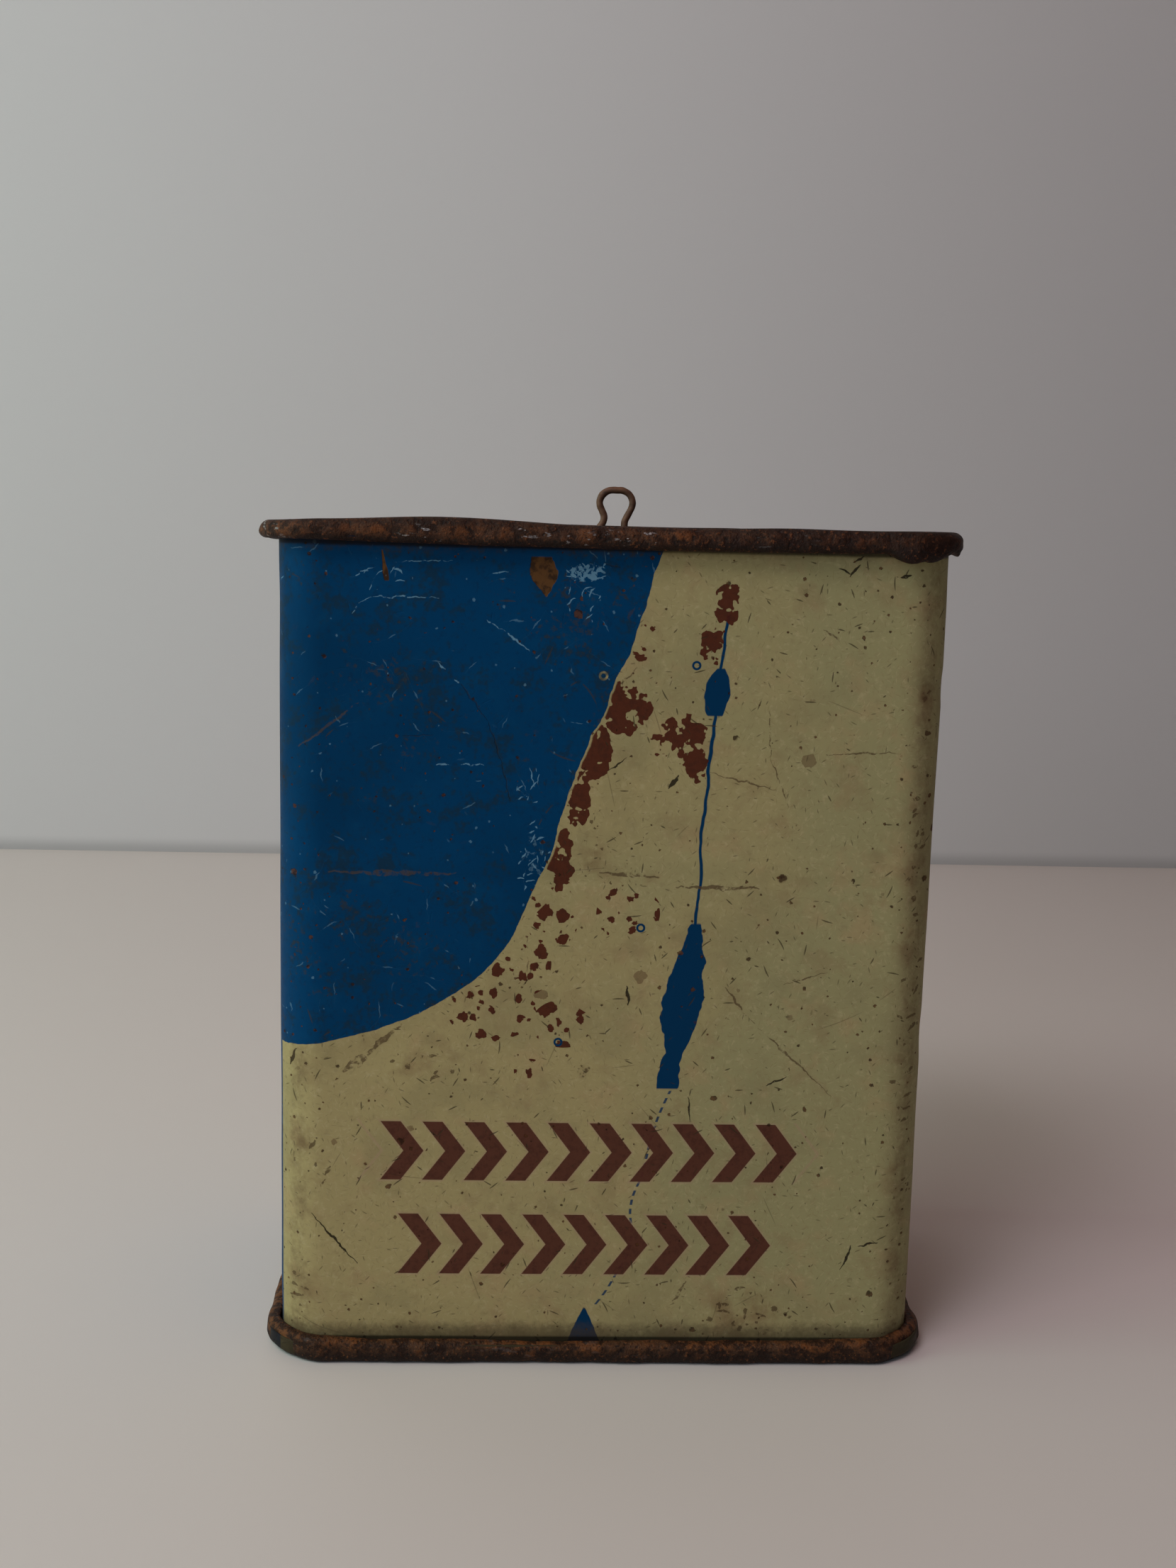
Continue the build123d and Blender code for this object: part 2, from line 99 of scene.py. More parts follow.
def rounded_path(points, radii, step):
    """Points along a polyline whose inner corners are replaced by tangent arcs."""
    points = [np.array(p, float) for p in points]
    out = [points[0]]
    for before, corner, after, radius in zip(points, points[1:], points[2:], radii):
        a = (before - corner) / np.linalg.norm(before - corner)
        b = (after - corner) / np.linalg.norm(after - corner)
        half = math.acos(np.clip(a @ b, -1, 1)) / 2
        start = corner + a * radius / math.tan(half)
        middle = corner + (a + b) / np.linalg.norm(a + b) * radius / math.sin(half)
        sweep = math.pi - 2 * half
        first = start - middle
        across = -a
        count = max(4, int(sweep * radius / step))
        for i in range(count + 1):
            angle = sweep * i / count
            out.append(middle + first * math.cos(angle) + across * radius * math.sin(angle))
    out.append(points[-1])
    dense = [out[0]]
    for p in out[1:]:
        gap = np.linalg.norm(p - dense[-1])
        if gap < 1e-6:
            continue
        start = dense[-1]
        for i in range(1, max(1, round(gap / step)) + 1):
            dense.append(start + (p - start) * i / max(1, round(gap / step)))
    return np.array(dense)


def side_normals(line):
    """Unit normals of a 2-D line, to the left of its direction."""
    tangent = np.gradient(line, axis=0)
    tangent /= np.linalg.norm(tangent, axis=1)[:, None]
    return np.stack([-tangent[:, 1], tangent[:, 0]], axis=1)


def outline(half_x, half_y, corner, counts):
    """Closed rounded rectangle, anticlockwise from the front's left. counts: front, side, back, arc."""
    front, side, back, arc = counts
    points, normals = [], []
    near_x, near_y = half_x - corner, half_y - corner
    sides = [
        ((-near_x, -half_y), (near_x, -half_y), (0, -1), front),
        ((half_x, -near_y), (half_x, near_y), (1, 0), side),
        ((near_x, half_y), (-near_x, half_y), (0, 1), back),
        ((-half_x, near_y), (-half_x, -near_y), (-1, 0), side),
    ]
    for start, end, normal, count in sides:
        start, end, normal = np.array([start, end, normal], float)
        points += [start + (end - start) * i / count for i in range(count)]
        normals += [normal] * count
        first = math.atan2(normal[1], normal[0])
        for angle in first + math.pi / 2 * np.arange(arc) / arc:
            n = np.array([math.cos(angle), math.sin(angle)])
            points.append(end + (n - normal) * corner)
            normals.append(n)
    return np.array(points), np.array(normals)


def tube_mesh(name, loops, closed_loop=True):
    """Mesh from rings of points, shape (rings, points, 3) in mm; the rings close on themselves."""
    rings, count, _ = loops.shape
    verts = (loops.reshape(-1, 3) * MM).tolist()
    faces = []
    for r in range(rings):
        r2 = (r + 1) % rings
        if r2 == 0 and not closed_loop:
            break
        for k in range(count):
            k2 = (k + 1) % count
            faces.append((r * count + k, r2 * count + k, r2 * count + k2, r * count + k2))
    if not closed_loop:
        faces.append(tuple(range(count)))
        faces.append(tuple((rings - 1) * count + k for k in reversed(range(count))))
    mesh = bpy.data.meshes.new(name)
    mesh.from_pydata(verts, [], faces)
    mesh.validate()
    obj = bpy.data.objects.new(name, mesh)
    bpy.context.scene.collection.objects.link(obj)
    fix_normals(mesh)
    mesh.polygons.foreach_set("use_smooth", [True] * len(mesh.polygons))
    return obj


def fix_normals(mesh):
    """Turns every face of a closed mesh outwards."""
    work = bmesh.new()
    work.from_mesh(mesh)
    bmesh.ops.recalc_face_normals(work, faces=work.faces)
    work.to_mesh(mesh)
    work.free()


# ---- body shell ----

FRONT_COUNTS = (150, 46, 90, 14)
WALL_ROWS = 166
WALL_END = 7.0
HOOK_OUT = SEAM_REACH - 1.5 * SHEET - 0.06
HOOK_MIDDLE = 0.585
# How far the top rim and the body's hook inside it are pushed to the left at both ends.
RIM_SHIFT = 0.5
GROOVE_X = 2.0
GROOVE_DEPTH = 0.18
FOLD_DEPTH = 1.35


def rim_shift(x):
    return RIM_SHIFT * ramp(np.abs(x), 30, 48)


def body_dents(points, normals):
    """How far the sheet is pushed out at each point: crease, dents and general unevenness."""
    x, y, z = points.T
    front = ramp(-normals[:, 1], 0.5, 0.95)
    right = ramp(normals[:, 0], 0.3, 0.9)
    push = 0.10 * wobble(points, 34, 3) + 0.04 * wobble(points, 12, 4)
    crease = bump(z, 77.0 + 0.6 * np.sin(x / 9), 1.5) * (0.5 + 0.5 * wobble(points, 16, 5))
    push -= front * 0.16 * crease
    push += front * 0.10 * bump(z, 79.5, 3.0)
    push -= 0.40 * bump(z, 106.5, 3.4) * bump(y, -27.0, 5.0) * ramp(x, 40, 47)
    push -= 0.18 * bump(z, 52.0, 5.0) * bump(y, -24.5, 6.0) * ramp(x, 42, 48)
    push -= right * 0.35 * bump(z, 70.0, 20.0) * bump(y, 2.0, 22.0)
    push -= front * 0.30 * bump(x, -36.0, 7.0) * bump(z, 49.0, 4.0)
    push += front * 0.25 * bump(x, 4.0, 60.0) * bump(z, 60.0, 70.0)
    edge = ramp(z, 4.0, 12.0) * ramp(TIN_HEIGHT - z, 4.0, 12.0)
    return push * edge


def make_body():
    """The printed sheet: one band with its edges hooked into both seams, and a lock seam at the back."""
    flat, normal = outline(HALF_WIDTH, HALF_DEPTH, BODY_CORNER, FRONT_COUNTS)
    low, high = HOOK_MIDDLE, TIN_HEIGHT - HOOK_MIDDLE
    wall_low, wall_high = WALL_END, TIN_HEIGHT - WALL_END
    middle = -SHEET / 2
    line = [(HOOK_OUT, BASE_SEAM - 0.95), (HOOK_OUT, low), (middle, low), (middle, wall_low)]
    bend = rounded_path(line, [0.79, 0.35], 0.35)
    rows = np.linspace(wall_low, wall_high, WALL_ROWS)[1:-1]
    wall = np.stack([np.full(len(rows), middle), rows], axis=1)
    line = [(middle, wall_high), (middle, high), (HOOK_OUT, high), (HOOK_OUT, TIN_HEIGHT - 1.95)]
    upper = rounded_path(line, [0.35, 0.79], 0.35)
    outer_line = np.concatenate([bend, wall, upper])
    inner_line = np.concatenate([bend, wall[::5], upper])
    outer = outer_line - side_normals(outer_line) * SHEET / 2
    inner = inner_line + side_normals(inner_line) * SHEET / 2
    profile = np.concatenate([outer, inner[::-1]])
    loops = np.zeros((len(flat), len(profile), 3))
    loops[:, :, :2] = flat[:, None] + normal[:, None] * profile[:, :1]
    loops[:, :, 2] = profile[:, 1]
    points = loops.reshape(-1, 3)
    normals = np.repeat(np.column_stack([normal, np.zeros(len(normal))]), len(profile), axis=0)
    outward = np.tile(profile[:, 0], len(flat))
    base = points - normals * outward[:, None]
    z = base[:, 2].copy()
    groove = bump(base[:, 0], GROOVE_X, 0.9) * ramp(base[:, 1], HALF_DEPTH - 1, HALF_DEPTH)
    groove *= GROOVE_DEPTH * ramp(z, 4, 5) * ramp(TIN_HEIGHT - z, 3, 4)
    points += normals * (body_dents(base, normals) - groove)[:, None]
    reach = ramp(outward, 0.2, 1.2) * ramp(z, TIN_HEIGHT - 5, TIN_HEIGHT - 3)
    points[:, 0] -= reach * rim_shift(points[:, 0])
    body = tube_mesh("tin_body", points.reshape(loops.shape))
    seam_low, seam_high = 3 * MM, (TIN_HEIGHT - 3) * MM
    for face in body.data.polygons:
        inward = face.normal.x * face.center.x + face.normal.y * face.center.y < 0
        face.material_index = 1 if inward and seam_low < face.center.z < seam_high else 0
    return body


# ---- ends ----

END_COUNTS = (170, 60, 110, 18)
WALL_OUT = -1.5 * SHEET - 0.06


def end_profile(seam):
    """The rolled seam's middle line as (outward, depth from the crest), from the panel outwards."""
    rim = SEAM_REACH - SHEET / 2
    curl = seam - SHEET / 2
    hook = SHEET + 0.24
    return [(rim, SHEET / 2), (rim, curl), (hook, curl), (hook, 1.36)]


def make_end(name, seam, recess, hole, lip_drop, at_top):
    """A pressed end with its rolled seam. hole: half sizes, corner and middle of its opening."""
    flat, normal = outline(HALF_WIDTH, HALF_DEPTH, BODY_CORNER, END_COUNTS)
    half_x, half_y, corner, middle_y = hole
    inner, inner_normal = outline(half_x, half_y, corner, END_COUNTS)
    inner = inner + np.array([0.0, middle_y])
    panel = recess + SHEET / 2
    points = [(WALL_OUT - 2.0, panel), (WALL_OUT, panel), (WALL_OUT, SHEET / 2)] + end_profile(seam)
    ring = rounded_path(points, [0.5, 0.35, 1.2, 0.96, 0.35], 0.16)
    ring_normal = side_normals(ring)
    count = len(flat)
    centres, offsets = [], []

    def add(xy, depth, off_xy, off_depth):
        centres.append(np.column_stack([xy, np.full(count, depth)]))
        offsets.append(np.column_stack([off_xy, np.full(count, off_depth)]))

    edge = inner + inner_normal * SHEET / 2
    if lip_drop:
        turn = 0.5
        for t in np.linspace(0, 1, 5):
            add(edge, panel + lip_drop - t * (lip_drop - turn), inner_normal, 0.0)
        for angle in np.linspace(0, math.pi / 2, 6)[1:]:
            shift = turn * (1 - math.cos(angle))
            add(edge + inner_normal * shift, panel + turn * (1 - math.sin(angle)),
                inner_normal * math.cos(angle), math.sin(angle))
        edge = edge + inner_normal * turn
    else:
        add(edge, panel, inner_normal * 0.0, 1.0)
    rim_start = flat + normal * ring[0, 0]
    for t in np.linspace(0, 1, 34)[1:-1]:
        add(edge + (rim_start - edge) * t, panel, inner_normal * 0.0, 1.0)
    for (u, d), (nu, nd) in zip(ring, ring_normal):
        add(flat + normal * u, d, -normal * nu, -nd)
    centres = np.array(centres)
    offsets = np.array(offsets)
    loops = np.concatenate([centres + offsets * SHEET / 2, (centres - offsets * SHEET / 2)[::-1]])
    loops = np.transpose(loops, (1, 0, 2))
    if at_top:
        loops[:, :, 2] = TIN_HEIGHT - loops[:, :, 2]
    shape = loops.shape
    verts = loops.reshape(-1, 3)
    out = np.repeat(normal, shape[1], axis=0)
    verts = wear_top_seam(verts, out) if at_top else wear_base_seam(verts, out)
    return tube_mesh(name, verts.reshape(shape))


def seam_reach(verts, out):
    """How far each point is outside the body's face, and a 0 to 1 mask of the rolled seam."""
    x, y = np.abs(verts[:, 0]), np.abs(verts[:, 1])
    dx = np.maximum(x - (HALF_WIDTH - BODY_CORNER), 0)
    dy = np.maximum(y - (HALF_DEPTH - BODY_CORNER), 0)
    round_part = np.hypot(dx, dy) - BODY_CORNER
    flat_part = np.maximum(x - HALF_WIDTH, y - HALF_DEPTH)
    reach = np.where((dx > 0) & (dy > 0), round_part, flat_part)
    return reach, ramp(reach, -0.9, 0.4)


def wear_top_seam(verts, out):
    """The top seam: hammered and rusted, raised at the left, with a hanging fold at the right."""
    reach, mask = seam_reach(verts, out)
    x, y, z = verts.T
    normals = np.column_stack([out, np.zeros(len(verts))])
    front = ramp(-y, 10, HALF_DEPTH - 3)
    lump = 0.12 * wobble(verts, 3.2, 11) + 0.10 * wobble(verts, 1.3, 12) + 0.10 * wobble(verts, 11, 13)
    lump = np.clip(lump, -0.32, 0.24)
    verts = verts + normals * (lump * mask)[:, None]
    below = ramp(TIN_HEIGHT - z, 1.0, TOP_SEAM)
    rise = 0.38 + 0.72 * bump(x, -27, 22) - 0.3 * ramp(-x, 42, 52) + 0.3 * ramp(x, 15, 35)
    rise += 0.05 * ramp(x, 38, 50) + 0.12 * wobble(verts * [1, 0.3, 0.3], 10, 14)
    drop = 0.3 * ramp(-x, 12, 34) + 0.3 * ramp(x, 20, 46) + 0.08 * wobble(verts * [1, 0.3, 0.3], 7, 17)
    fold = np.maximum(bump(x, 43.2, 4.2), 0.85 * bump(x, 46.2, 3.8)) * front
    verts[:, 2] += mask * front * (rise * (1 - below) + drop * below)
    verts[:, 2] -= mask * front * below * FOLD_DEPTH * fold
    verts[:, 1] -= mask * front * below * 0.30 * fold
    drip = bump(x, 51.2, 0.9) * bump(y, -26.5, 2.5)
    verts[:, 2] -= mask * below * 0.5 * drip
    verts[:, 0] -= mask * rim_shift(x)
    verts[:, 2] += mask * (1 - front) * (0.10 * wobble(verts, 9, 15) - 0.1)
    panel = 1 - ramp(reach, -2.4, -1.0)
    verts[:, 2] += panel * (0.16 * wobble(verts, 26, 16) - 0.25 * bump(x, -20, 26) * bump(y, -6, 20))
    verts[:, 2] = np.minimum(verts[:, 2], TIN_HEIGHT + 1.3)
    return verts


def wear_base_seam(verts, out):
    """The base seam: lumpy with rust and a little flattened at its corners."""
    reach, mask = seam_reach(verts, out)
    x, y, z = verts.T
    normals = np.column_stack([out, np.zeros(len(verts))])
    lump = 0.11 * wobble(verts, 3.6, 21) + 0.05 * wobble(verts, 1.4, 22) + 0.12 * wobble(verts, 14, 23)
    corner = bump(np.hypot(np.abs(x) - 50, np.abs(y) - 29.5), 0, 8)
    lump = np.clip(lump, -0.3, 0.25) - 0.75 * corner
    verts = verts + normals * (lump * mask)[:, None]
    high = ramp(z, 1.5, BASE_SEAM)
    front = ramp(-y, 15, HALF_DEPTH - 3)
    verts[:, 2] += mask * high * (0.18 * wobble(verts * [1, 0.3, 0.3], 12, 24) - 0.65)
    verts[:, 2] += mask * high * front * (0.55 * ramp(x, 30, 48) + 0.55 * ramp(-x, 34, 46))
    verts[:, 2] = np.maximum(verts[:, 2], 0.0)
    return verts


# ---- loop and solder ----

WIRE_RADIUS = 0.6
MOUND_HALF_X = 2.6
MOUND_HALF_Y = 1.7
MOUND_HEIGHT = 1.7


def make_loop():
    """Hanging loop: one piece of wire on a fixed route, with small irregularities."""
    low, high = box_mm("hanging_loop")
    wire = WIRE_RADIUS
    centre_x = low[0] + 8.9
    y0 = (low[1] + high[1]) / 2
    ground = low[2] + wire
    top = high[2] - wire
    points = [
        (-8.9, ground), (-3.9, ground), (-1.75, top - 5.0), (-3.1, top - 2.2), (-2.1, top),
        (2.1, top), (3.1, top - 2.3), (1.6, top - 5.3), (1.4, ground), (6.4, ground),
    ]
    line = rounded_path(points, [0.9, 2.0, 1.9, 2.3, 2.3, 1.9, 2.2, 0.9], 0.16)
    count = 20
    angles = np.linspace(0, 2 * math.pi, count, endpoint=False)
    radial = np.zeros((len(line), count, 3))
    radial[:, :, 0::2] = side_normals(line)[:, None] * wire * np.cos(angles)[:, None]
    radial[:, :, 1] = wire * np.sin(angles)
    centres = np.column_stack([line[:, 0] + centre_x, np.full(len(line), y0), line[:, 1]])
    verts = (centres[:, None] + radial).reshape(-1, 3)
    lump = 0.05 * wobble(verts, 1.6, 31) + 0.03 * wobble(verts, 0.6, 32)
    verts += radial.reshape(-1, 3) * lump[:, None]
    lean = (verts[:, 2] - ground) / (top - ground)
    verts[:, 1] += 0.25 * lean
    return tube_mesh("wire_loop", verts.reshape(radial.shape), closed_loop=False)


def make_solder():
    """The two uneven mounds of solder."""
    low, high = box_mm("loop_solder")
    y0 = (low[1] + high[1]) / 2
    objects = []
    rise = np.linspace(0, 0.97, 14)[:, None] * math.pi / 2
    angles = np.linspace(0, 2 * math.pi, 36, endpoint=False)
    spread = np.cos(rise) ** 0.6
    for side, seed in ((0, 41), (1, 42)):
        x0 = low[0] + MOUND_HALF_X if side == 0 else high[0] - MOUND_HALF_X
        loops = np.zeros((14, 36, 3))
        loops[:, :, 0] = x0 + MOUND_HALF_X * spread * np.cos(angles)
        loops[:, :, 1] = y0 + MOUND_HALF_Y * spread * np.sin(angles)
        loops[:, :, 2] = low[2] - 0.2 + MOUND_HEIGHT * np.sin(rise)
        verts = loops.reshape(-1, 3)
        centre = np.array([x0, y0, low[2]])
        lump = 0.10 * wobble(verts, 1.8, seed) + 0.04 * wobble(verts, 0.7, seed + 5)
        verts = verts + (verts - centre) * lump[:, None]
        name = f"solder_mound_{side + 1}"
        objects.append(tube_mesh(name, verts.reshape(loops.shape), closed_loop=False))
    return objects


# ---- node helpers ----

class Value:
    """A number socket with arithmetic, so that masks read like formulas."""

    def __init__(self, tree, socket):
        self.tree = tree
        self.socket = socket

    def op(self, kind, *others):
        node = self.tree.nodes.new("ShaderNodeMath")
        node.operation = kind
        for slot, item in zip(node.inputs, (self,) + others):
            if isinstance(item, Value):
                self.tree.links.new(item.socket, slot)
            else:
                slot.default_value = item
        return Value(self.tree, node.outputs[0])

    __add__ = __radd__ = partialmethod(op, "ADD")
    __sub__ = partialmethod(op, "SUBTRACT")
    __mul__ = __rmul__ = partialmethod(op, "MULTIPLY")
    __truediv__ = partialmethod(op, "DIVIDE")
    abs = partialmethod(op, "ABSOLUTE")
    max = partialmethod(op, "MAXIMUM")
    min = partialmethod(op, "MINIMUM")
    power = partialmethod(op, "POWER")

    def __rsub__(self, other):
        return (self * -1.0) + other

    def clamp(self):
        return self.max(0.0).min(1.0)

    def step(self, low, high):
        """0 below low, 1 above high, smooth between; low may be the larger one."""
        node = self.tree.nodes.new("ShaderNodeMapRange")
        node.interpolation_type = "SMOOTHSTEP"
        self.tree.links.new(self.socket, node.inputs["Value"])
        ends = (0.0, 1.0) if low < high else (1.0, 0.0)
        limits = (min(low, high), max(low, high), *ends)
        for label, number in zip(("From Min", "From Max", "To Min", "To Max"), limits):
            node.inputs[label].default_value = number
        return Value(self.tree, node.outputs["Result"])

    def curve(self, low, high, points):
        """A smooth function of this value: points are (input, output) pairs between low and high."""
        outs = [p[1] for p in points]
        bottom, top = min(outs), max(outs)
        node = self.tree.nodes.new("ShaderNodeFloatCurve")
        line = node.mapping.curves[0]
        scaled = [((a - low) / (high - low), (b - bottom) / (top - bottom)) for a, b in points]
        line.points[0].location = scaled[0]
        line.points[1].location = scaled[-1]
        for location in scaled[1:-1]:
            line.points.new(*location)
        node.mapping.update()
        unit = (self - low) / (high - low)
        self.tree.links.new(unit.socket, node.inputs["Value"])
        return Value(self.tree, node.outputs[0]) * (top - bottom) + bottom


def union(masks):
    """The largest of several masks at each place."""
    return reduce(Value.max, masks)


class Graph:
    """Builds nodes in one tree. Vectors are plain sockets; numbers are Values."""

    def __init__(self, tree):
        self.tree = tree

    def add(self, kind):
        return self.tree.nodes.new("ShaderNode" + kind)

    def connect(self, item, slot):
        if isinstance(item, Value):
            self.tree.links.new(item.socket, slot)
        elif isinstance(item, (int, float, tuple)):
            slot.default_value = item
        else:
            self.tree.links.new(item, slot)

    def split(self, vector):
        node = self.add("SeparateXYZ")
        self.tree.links.new(vector, node.inputs[0])
        return [Value(self.tree, s) for s in node.outputs]

    def vector(self, x, y, z):
        node = self.add("CombineXYZ")
        for slot, item in zip(node.inputs, (x, y, z)):
            self.connect(item, slot)
        return node.outputs[0]

    def vmath(self, kind, first, second=None):
        """A vector maths node. A number as the second item is a scale."""
        node = self.add("VectorMath")
        node.operation = kind
        self.connect(first, node.inputs[0])
        if kind == "SCALE":
            self.connect(second, node.inputs["Scale"])
        elif second is not None:
            self.connect(second, node.inputs[1])
        if kind in ("DOT_PRODUCT", "LENGTH"):
            return Value(self.tree, node.outputs["Value"])
        return node.outputs[0]

    def noise(self, size, detail=3.0, rough=0.5, seed=0.0, place=None, distortion=0.0):
        """Fractal noise, about 0 to 1, with features of this size in millimetres."""
        node = self.add("TexNoise")
        node.noise_dimensions = "4D"
        self.connect(seed, node.inputs["W"])
        scale = 1 / size if isinstance(size, (int, float)) else size.op("POWER", -1.0)
        self.connect(scale, node.inputs["Scale"])
        node.inputs["Detail"].default_value = detail
        node.inputs["Roughness"].default_value = rough
        node.inputs["Distortion"].default_value = distortion
        self.tree.links.new(place or self.place, node.inputs["Vector"])
        return Value(self.tree, node.outputs["Fac"])

    def use(self, group, *items):
        """The output of a node group for these inputs."""
        node = self.add("Group")
        node.node_tree = group
        for item, slot in zip(items, node.inputs):
            self.connect(item, slot)
        return Value(self.tree, node.outputs[0])


def make_group(name, vector_names, number_names, build):
    """A node group that works out one number from its inputs."""
    tree = bpy.data.node_groups.new(name, "ShaderNodeTree")
    for label in vector_names:
        tree.interface.new_socket(label, in_out="INPUT", socket_type="NodeSocketVector")
    for label in number_names:
        tree.interface.new_socket(label, in_out="INPUT", socket_type="NodeSocketFloat")
    tree.interface.new_socket("Mask", in_out="OUTPUT", socket_type="NodeSocketFloat")
    start = tree.nodes.new("NodeGroupInput")
    end = tree.nodes.new("NodeGroupOutput")
    vectors = start.outputs[: len(vector_names)]
    numbers = [Value(tree, s) for s in start.outputs[len(vector_names) : -1]]
    result = build(Graph(tree), *vectors, *numbers)
    tree.links.new(result.socket, end.inputs[0])
    return tree


def scatter(graph, place, size, seed):
    """Scattered points on the sheet: offset from the nearest one, and three random numbers."""
    shifted = graph.vmath("ADD", place, graph.vector(seed * 17.31, seed * 5.17, 0.0))
    node = graph.add("TexVoronoi")
    node.voronoi_dimensions = "2D"
    graph.connect(size.op("POWER", -1.0), node.inputs["Scale"])
    graph.connect(shifted, node.inputs["Vector"])
    offset = graph.vmath("SUBTRACT", shifted, node.outputs["Position"])
    return offset, graph.split(node.outputs["Color"])


def build_strokes(graph, place, size, length, width, seed, density, turn, spread, bend):
    offset, (first, second, third) = scatter(graph, place, size, seed)
    dx, dz, _ = graph.split(offset)
    angle = ((first - 0.5) * spread + turn) * math.radians(1)
    cos, sin = angle.op("COSINE"), angle.op("SINE")
    along = dx * cos + dz * sin
    across = dz * cos - dx * sin + along * along * (second - 0.5) * bend * 2
    half = (second * 0.38 + 0.12) * length
    taper = (1 - along.abs() / half).max(0.0).power(0.4) * width * 0.5
    mask = (taper - across.abs()).step(-0.03, 0.05)
    return mask * (density - third).step(-0.01, 0.01)


def build_spots(graph, place, size, smallest, largest, seed, density):
    offset, (first, second, third) = scatter(graph, place, size, seed)
    distance = graph.vmath("LENGTH", offset)
    radius = first * second * (largest - smallest) + smallest
    ragged = (graph.noise(largest * 0.8, 2.0, 0.6, seed, place=place) - 0.5) * largest * 1.4
    mask = (radius - distance + ragged).step(-0.04, 0.05)
    return mask * (density - third).step(-0.01, 0.01)


def build_line(graph, place, start, end, width):
    run = graph.vmath("SUBTRACT", end, start)
    away = graph.vmath("SUBTRACT", place, start)
    along = (graph.vmath("DOT_PRODUCT", away, run) / graph.vmath("DOT_PRODUCT", run, run)).clamp()
    nearest = graph.vmath("SCALE", run, along)
    distance = graph.vmath("LENGTH", graph.vmath("SUBTRACT", away, nearest))
    taper = (1 - (along * 2 - 1).abs() * 0.75) * width * 0.5
    return (taper - distance).step(-0.04, 0.05)


def build_blob(graph, place, middle, half):
    away = graph.vmath("SUBTRACT", place, middle)
    return graph.vmath("LENGTH", graph.vmath("DIVIDE", away, half))


STROKE_INPUTS = ["Size", "Length", "Width", "Seed", "Density", "Turn", "Spread", "Bend"]
STROKES = make_group("strokes", ["Place"], STROKE_INPUTS, build_strokes)
SPOTS = make_group("spots", ["Place"], ["Size", "Smallest", "Largest", "Seed", "Density"], build_spots)
LINE = make_group("line", ["Place", "Start", "End"], ["Width"], build_line)
BLOB = make_group("blob", ["Place", "Middle", "Half"], [], build_blob)


class Paint(Graph):
    """A procedural material on the object's own coordinates, in millimetres."""

    def __init__(self, name):
        self.material = bpy.data.materials.new(name)
        self.material.use_nodes = True
        super().__init__(self.material.node_tree)
        self.shader = self.tree.nodes["Principled BSDF"]
        coords = self.add("TexCoord")
        self.place = self.vmath("SCALE", coords.outputs["Object"], 1 / MM)
        self.x, self.y, self.z = self.split(self.place)

    def unroll(self):
        """Coordinates on the flat sheet: along the front, round the corners, and up."""
        turn_x = 47.95
        turn_y = 27.45
        side = self.x.abs().op("GREATER_THAN", turn_x)
        ahead = self.y.op("LESS_THAN", 0.0)
        along_side = self.x.op("SIGN") * (self.y + turn_x + turn_y)
        along_back = self.x * -1.0 + 2 * (turn_x + turn_y)
        along = self.x * ahead + along_back * (1 - ahead)
        along = along_side * side + along * (1 - side)
        return self.vector(along, self.z, 0.0)

    def strokes(self, place, size, length, width, seed, density, turn=0.0, spread=360.0, bend=0.08):
        """Scattered short tapering scratches of random direction, length and place."""
        return self.use(STROKES, place, size, length, width, seed, density, turn, spread, bend)

    def spots(self, place, size, smallest, largest, seed, density):
        """Scattered uneven spots of random size."""
        return self.use(SPOTS, place, size, smallest, largest, seed, density)

    def line(self, place, start, end, width):
        """One scratch from start to end on the front, widest in the middle."""
        return self.use(LINE, place, (*start, 0.0), (*end, 0.0), width)

    def lay(self, above, mask):
        """Lays a colour over what is painted so far, where the mask is 1."""
        self.colour = self.mix(self.colour, above, mask)

    def mix(self, below, above, mask):
        """The colour above laid over the colour below where the mask is 1."""
        node = self.add("Mix")
        node.data_type = "RGBA"
        self.connect(mask, node.inputs[0])
        for slot, item in ((node.inputs[6], below), (node.inputs[7], above)):
            self.connect((*item, 1.0) if isinstance(item, tuple) else item, slot)
        return node.outputs[2]

    def finish(self, roughness, height=None, depth=0.0001, metallic=None, gloss=0.5):
        links = self.tree.links
        self.shader.inputs["Specular IOR Level"].default_value = gloss
        links.new(self.colour, self.shader.inputs["Base Color"])
        self.connect(roughness, self.shader.inputs["Roughness"])
        if metallic is not None:
            self.connect(metallic, self.shader.inputs["Metallic"])
        if height is not None:
            node = self.add("Bump")
            node.inputs["Strength"].default_value = 1.0
            node.inputs["Distance"].default_value = depth
            links.new(height.socket, node.inputs["Height"])
            links.new(node.outputs[0], self.shader.inputs["Normal"])
        return self.material


# ---- printed sheet ----

CREAM = (0.440, 0.364, 0.168)
CREAM_GREEN = (0.360, 0.340, 0.166)
CREAM_TAN = (0.46, 0.33, 0.165)
BLUE = (0.0, 0.052, 0.150)
BLUE_DEEP = (0.0, 0.037, 0.104)
WATER = (0.001, 0.040, 0.112)
RUSSET = (0.097, 0.0215, 0.0115)
BAND_BROWN = (0.105, 0.032, 0.021)
RUST = (0.110, 0.044, 0.018)
RUST_DARK = (0.030, 0.014, 0.008)
GRIME = (0.050, 0.038, 0.020)
PALE_BLUE = (0.16, 0.34, 0.48)
CREAM_DULL, CREAM_BRIGHT = (0.34, 0.285, 0.14), (0.55, 0.47, 0.26)
FLECK_DARK, FLECK_LIGHT = (0.27, 0.225, 0.10), (0.58, 0.49, 0.28)
AGED_TAN, AGED_OLIVE, AGED_BROWN = (0.30, 0.215, 0.105), (0.27, 0.235, 0.115), (0.21, 0.14, 0.065)
BLUE_BRIGHT, BLUE_DULL = (0.002, 0.064, 0.165), (0.004, 0.030, 0.080)
